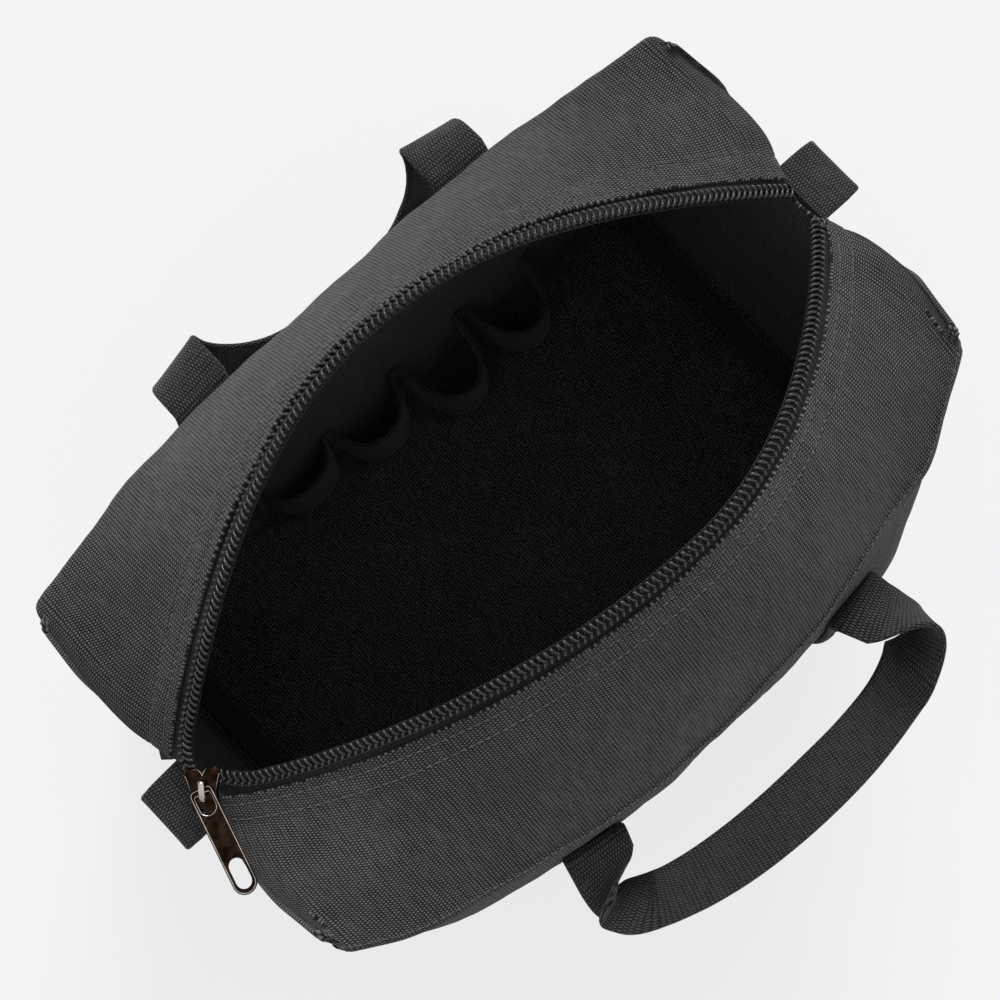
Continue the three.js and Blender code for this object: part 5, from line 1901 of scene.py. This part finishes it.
@dataclass
class Inside:
    """What is sewn inside: the elastic tool loops and the bound end seams."""

    shape: BagShape
    wardrobe: Wardrobe
    elastic_width: float = 24.0
    elastic_thickness: float = 1.4
    elastic_base: float = 14.0
    start: float = -64.0
    pitch: float = 38.0
    flat: float = 5.0
    depths: tuple[float, ...] = (12, 18, 28, 26)
    lining: float = 2.6
    binding_width: float = 12.0
    binding_thickness: float = 1.2
    binding_inset: float = 12.6
    binding_deep: float = 3.2
    rows: list[Grid] = field(default_factory=list)

    def elastic(self) -> None:
        """Builds the elastic: short sewn flats, and loops that stand off by a power of a sine wave."""
        shape, half_flat = self.shape, self.flat / 2
        x, depth = [np.linspace(self.start - half_flat, self.start + half_flat, 6)[:-1]], [np.zeros(5)]
        f = np.linspace(0, 1, 40)
        for k, deep in enumerate(self.depths):
            begin = self.start + k * self.pitch + half_flat
            end = begin + self.pitch - self.flat
            x += [begin + (end - begin) * (f - 0.09 * np.sin(math.tau * f)),
                  np.linspace(end, end + self.flat, 6)[1:-1]]
            depth += [deep * np.maximum(0, np.sin(math.pi * f)) ** 0.8, np.zeros(4)]
        x, depth = np.concatenate(x), np.concatenate(depth)
        s = shape.station_at(x)
        middle = self.elastic_base + self.elastic_width / 2
        v = (middle - shape.foot) / (shape.wall_top(REAR, x) - shape.foot)
        normal = shape.wall_normal(REAR, s, v)
        path = shape.wall_point(REAR, s, v) - normal * (self.lining + self.elastic_thickness / 2)
        path[:, 1] -= depth
        rise = unit(shape.wall_point(REAR, s, v + 0.02) - shape.wall_point(REAR, s, v - 0.02))
        piece = webbing("elastic_loops", path, rise, self.elastic_width, self.elastic_thickness)
        self.wardrobe.dress(piece, ELASTIC, Body.BAG, "elastic_band")
        t = np.linspace(-1, 1, 10)[:, None]
        for k in range(len(self.depths) + 1):
            near = int(np.abs(x - self.start - k * self.pitch).argmin())
            face = path[near] - normal[near] * (self.elastic_thickness / 2 + 0.05)
            outward = np.repeat(-normal[near][None], len(t), axis=0)
            for side in (-1.3, 1.3):
                line = face + rise[near] * (self.elastic_width / 2 - 1.5) * t + np.array([side, 0, 0])
                self.rows.append(Stitch(2.6, 2.1, 0.26, 0.2).row(line, outward))

    def binding(self, hand: int, name: str, node: str) -> None:
        """Builds the bound seam inside one end: down one wall, over the base and up the other.

        Args:
            hand: -1 for the end with the slider, 1 for the other.
            name: the object's name.
            node: the solid that it stands for.
        """
        shape, count = self.shape, 50
        x = hand * (shape.half - self.binding_inset)
        s = np.full(count, shape.station_at(x))
        paths, ways = [], []
        for wall, v in ((FRONT, np.linspace(0.9, 0.07, count)), (REAR, np.linspace(0.07, 0.9, count))):
            paths.append(shape.wall_point(wall, s, v) - shape.wall_normal(wall, s, v) * self.binding_deep)
            ways.append(shape.wall_way(wall, s, v))
        floor = np.column_stack([np.full(count, x), np.linspace(-69.9, 69.9, count), np.full(count, 2.5)])
        path = soften(np.concatenate([paths[0], floor, paths[1]]), 6)
        across = np.concatenate([ways[0], np.tile([1.0, 0, 0], (count, 1)), ways[1]])
        piece = webbing(name, path, across, self.binding_width, self.binding_thickness)
        self.wardrobe.dress(piece, BINDING, Body.BAG, node)
        inward = unit(np.cross(unit(np.gradient(path, axis=0)), across))
        inward *= -1 if inward[len(path) // 2, 2] < 0 else 1
        edge = path + across * -hand * 4.4 + inward * 0.66
        self.rows.append(Stitch(3.2, 2.4, 0.25, 0.2).row(edge, inward))

    def build(self) -> None:
        """Builds everything sewn inside."""
        self.elastic()
        self.binding(-1, "left_binding", "seam_binding_left")
        self.binding(1, "right_binding", "seam_binding_right")
        self.wardrobe.dress(stitching("inner_stitching", self.rows), THREAD, Body.BAG)


def soften(path: Grid, rounds: int) -> Grid:
    """Rounds a path's corners: each round takes the mean of each point and its two neighbours.

    Args:
        path: the path's points.
        rounds: how many rounds are made.

    Returns:
        The new points.
    """
    for _ in range(rounds):
        path = np.concatenate([path[:1], (path[:-2] + path[1:-1] + path[2:]) / 3, path[-1:]])
    return path


# The studio


@dataclass(frozen=True)
class Studio:
    """The camera, the pale floor and the soft light."""

    eye: tuple[float, float, float] = (-72.98, -75.81, 871.25)
    forward: tuple[float, float, float] = (0.09543, 0.10045, -0.99036)
    right: tuple[float, float, float] = (0.7249, -0.6888, 0.0)
    focal_pixels: float = 2047.36
    frame_pixels: float = 1000.0
    sensor: float = 36.0
    floor_colour: Colour = grey(0.9)
    floor_half: float = 6000.0
    floor_level: float = -0.3
    floor_glow: float = 0.93
    glow_share: float = 0.82
    world_strength: float = 0.52
    sun_strength: float = 2.05
    sun_from: tuple[float, float, float] = (0.62, 0.6, 0.66)
    sun_spread: float = 24.0

    def camera(self) -> None:
        """Sets the camera from its eye point and its two directions."""
        ahead, right = unit(np.array(self.forward)), unit(np.array(self.right))
        up = np.cross(right, ahead)
        turn = Matrix([[right[k], up[k], -ahead[k]] for k in range(3)]).to_4x4()
        data = bpy.data.cameras.new("photo_camera")
        data.sensor_width = self.sensor
        data.sensor_fit = "HORIZONTAL"
        data.lens = self.sensor * self.focal_pixels / self.frame_pixels
        data.clip_start, data.clip_end = 0.05, 20
        made = bpy.data.objects.new("photo_camera", data)
        made.matrix_world = Matrix.Translation([v * MM for v in self.eye]) @ turn
        bpy.context.scene.collection.objects.link(made)
        bpy.context.scene.camera = made

    def floor(self) -> None:
        """Lays a wide pale floor that keeps a soft shadow and glows a little to whatever sees it."""
        places = [(-1, -1), (1, -1), (1, 1), (-1, 1)]
        corners = np.array([[x * self.floor_half, y * self.floor_half, self.floor_level] for x, y in places])
        floor = make_object("studio_floor", corners, [[[0, 1, 2, 3]]])
        material, graph = new_material("studio_floor")
        matt = graph.add("ShaderNodeBsdfDiffuse", {"Color": (*self.floor_colour, 1)})
        glow = graph.add("ShaderNodeEmission", {"Color": (1, 1, 1, 1), "Strength": self.floor_glow})
        share = graph.maths("MULTIPLY", self.seen_rays(graph), self.glow_share)
        mixed = graph.add("ShaderNodeMixShader", {0: share, 1: matt.outputs[0], 2: glow.outputs[0]})
        graph.add("ShaderNodeOutputMaterial", {0: mixed.outputs[0]})
        floor.data.materials.append(material)

    @staticmethod
    def seen_rays(graph: Graph) -> Socket:
        """One for the rays by which floor and sky are seen, straight, in a mirror or through glass.

        Args:
            graph: the graph to add to.

        Returns:
            The socket.
        """
        rays = graph.add("ShaderNodeLightPath").outputs
        straight = graph.maths("MAXIMUM", rays["Is Camera Ray"], rays["Is Transmission Ray"])
        return graph.maths("MAXIMUM", straight, rays["Is Glossy Ray"])

    def light(self) -> None:
        """Lights the bag with an even sky and one broad sun, from above and behind."""
        world = bpy.data.worlds.new("studio")
        bpy.context.scene.world = world
        world.use_nodes = True
        world.node_tree.nodes.clear()
        graph = Graph(world.node_tree)
        lit = self.floor_glow - self.world_strength
        strength = graph.maths("MULTIPLY_ADD", self.seen_rays(graph), lit, self.world_strength)
        sky = graph.add("ShaderNodeBackground", {"Color": (1, 1, 1, 1), "Strength": strength})
        graph.add("ShaderNodeOutputWorld", {0: sky.outputs[0]})
        data = bpy.data.lights.new("soft_sun", "SUN")
        data.energy = self.sun_strength
        data.angle = math.radians(self.sun_spread)
        made = bpy.data.objects.new("soft_sun", data)
        way = unit(np.array(self.sun_from))
        side = unit(np.cross([0, 0, 1.0], way))
        made.matrix_world = Matrix([[side[k], np.cross(way, side)[k], way[k]] for k in range(3)]).to_4x4()
        bpy.context.scene.collection.objects.link(made)
        bpy.context.scene.view_settings.view_transform = "Standard"

    def build(self) -> None:
        """Builds the whole studio."""
        self.camera()
        self.floor()
        self.light()


def main() -> None:
    """Builds the studio and every sub-assembly in order."""
    logging.basicConfig(level=logging.INFO, format="%(message)s")
    Studio().build()
    shape, wardrobe = BagShape(), Wardrobe()
    for part in (CanvasBody(shape, wardrobe), Zip(shape, wardrobe), Carrying(shape, wardrobe),
                 Inside(shape, wardrobe)):
        part.build()
        log.info("%s is built", type(part).__name__)


if __name__ == "__main__":
    main()
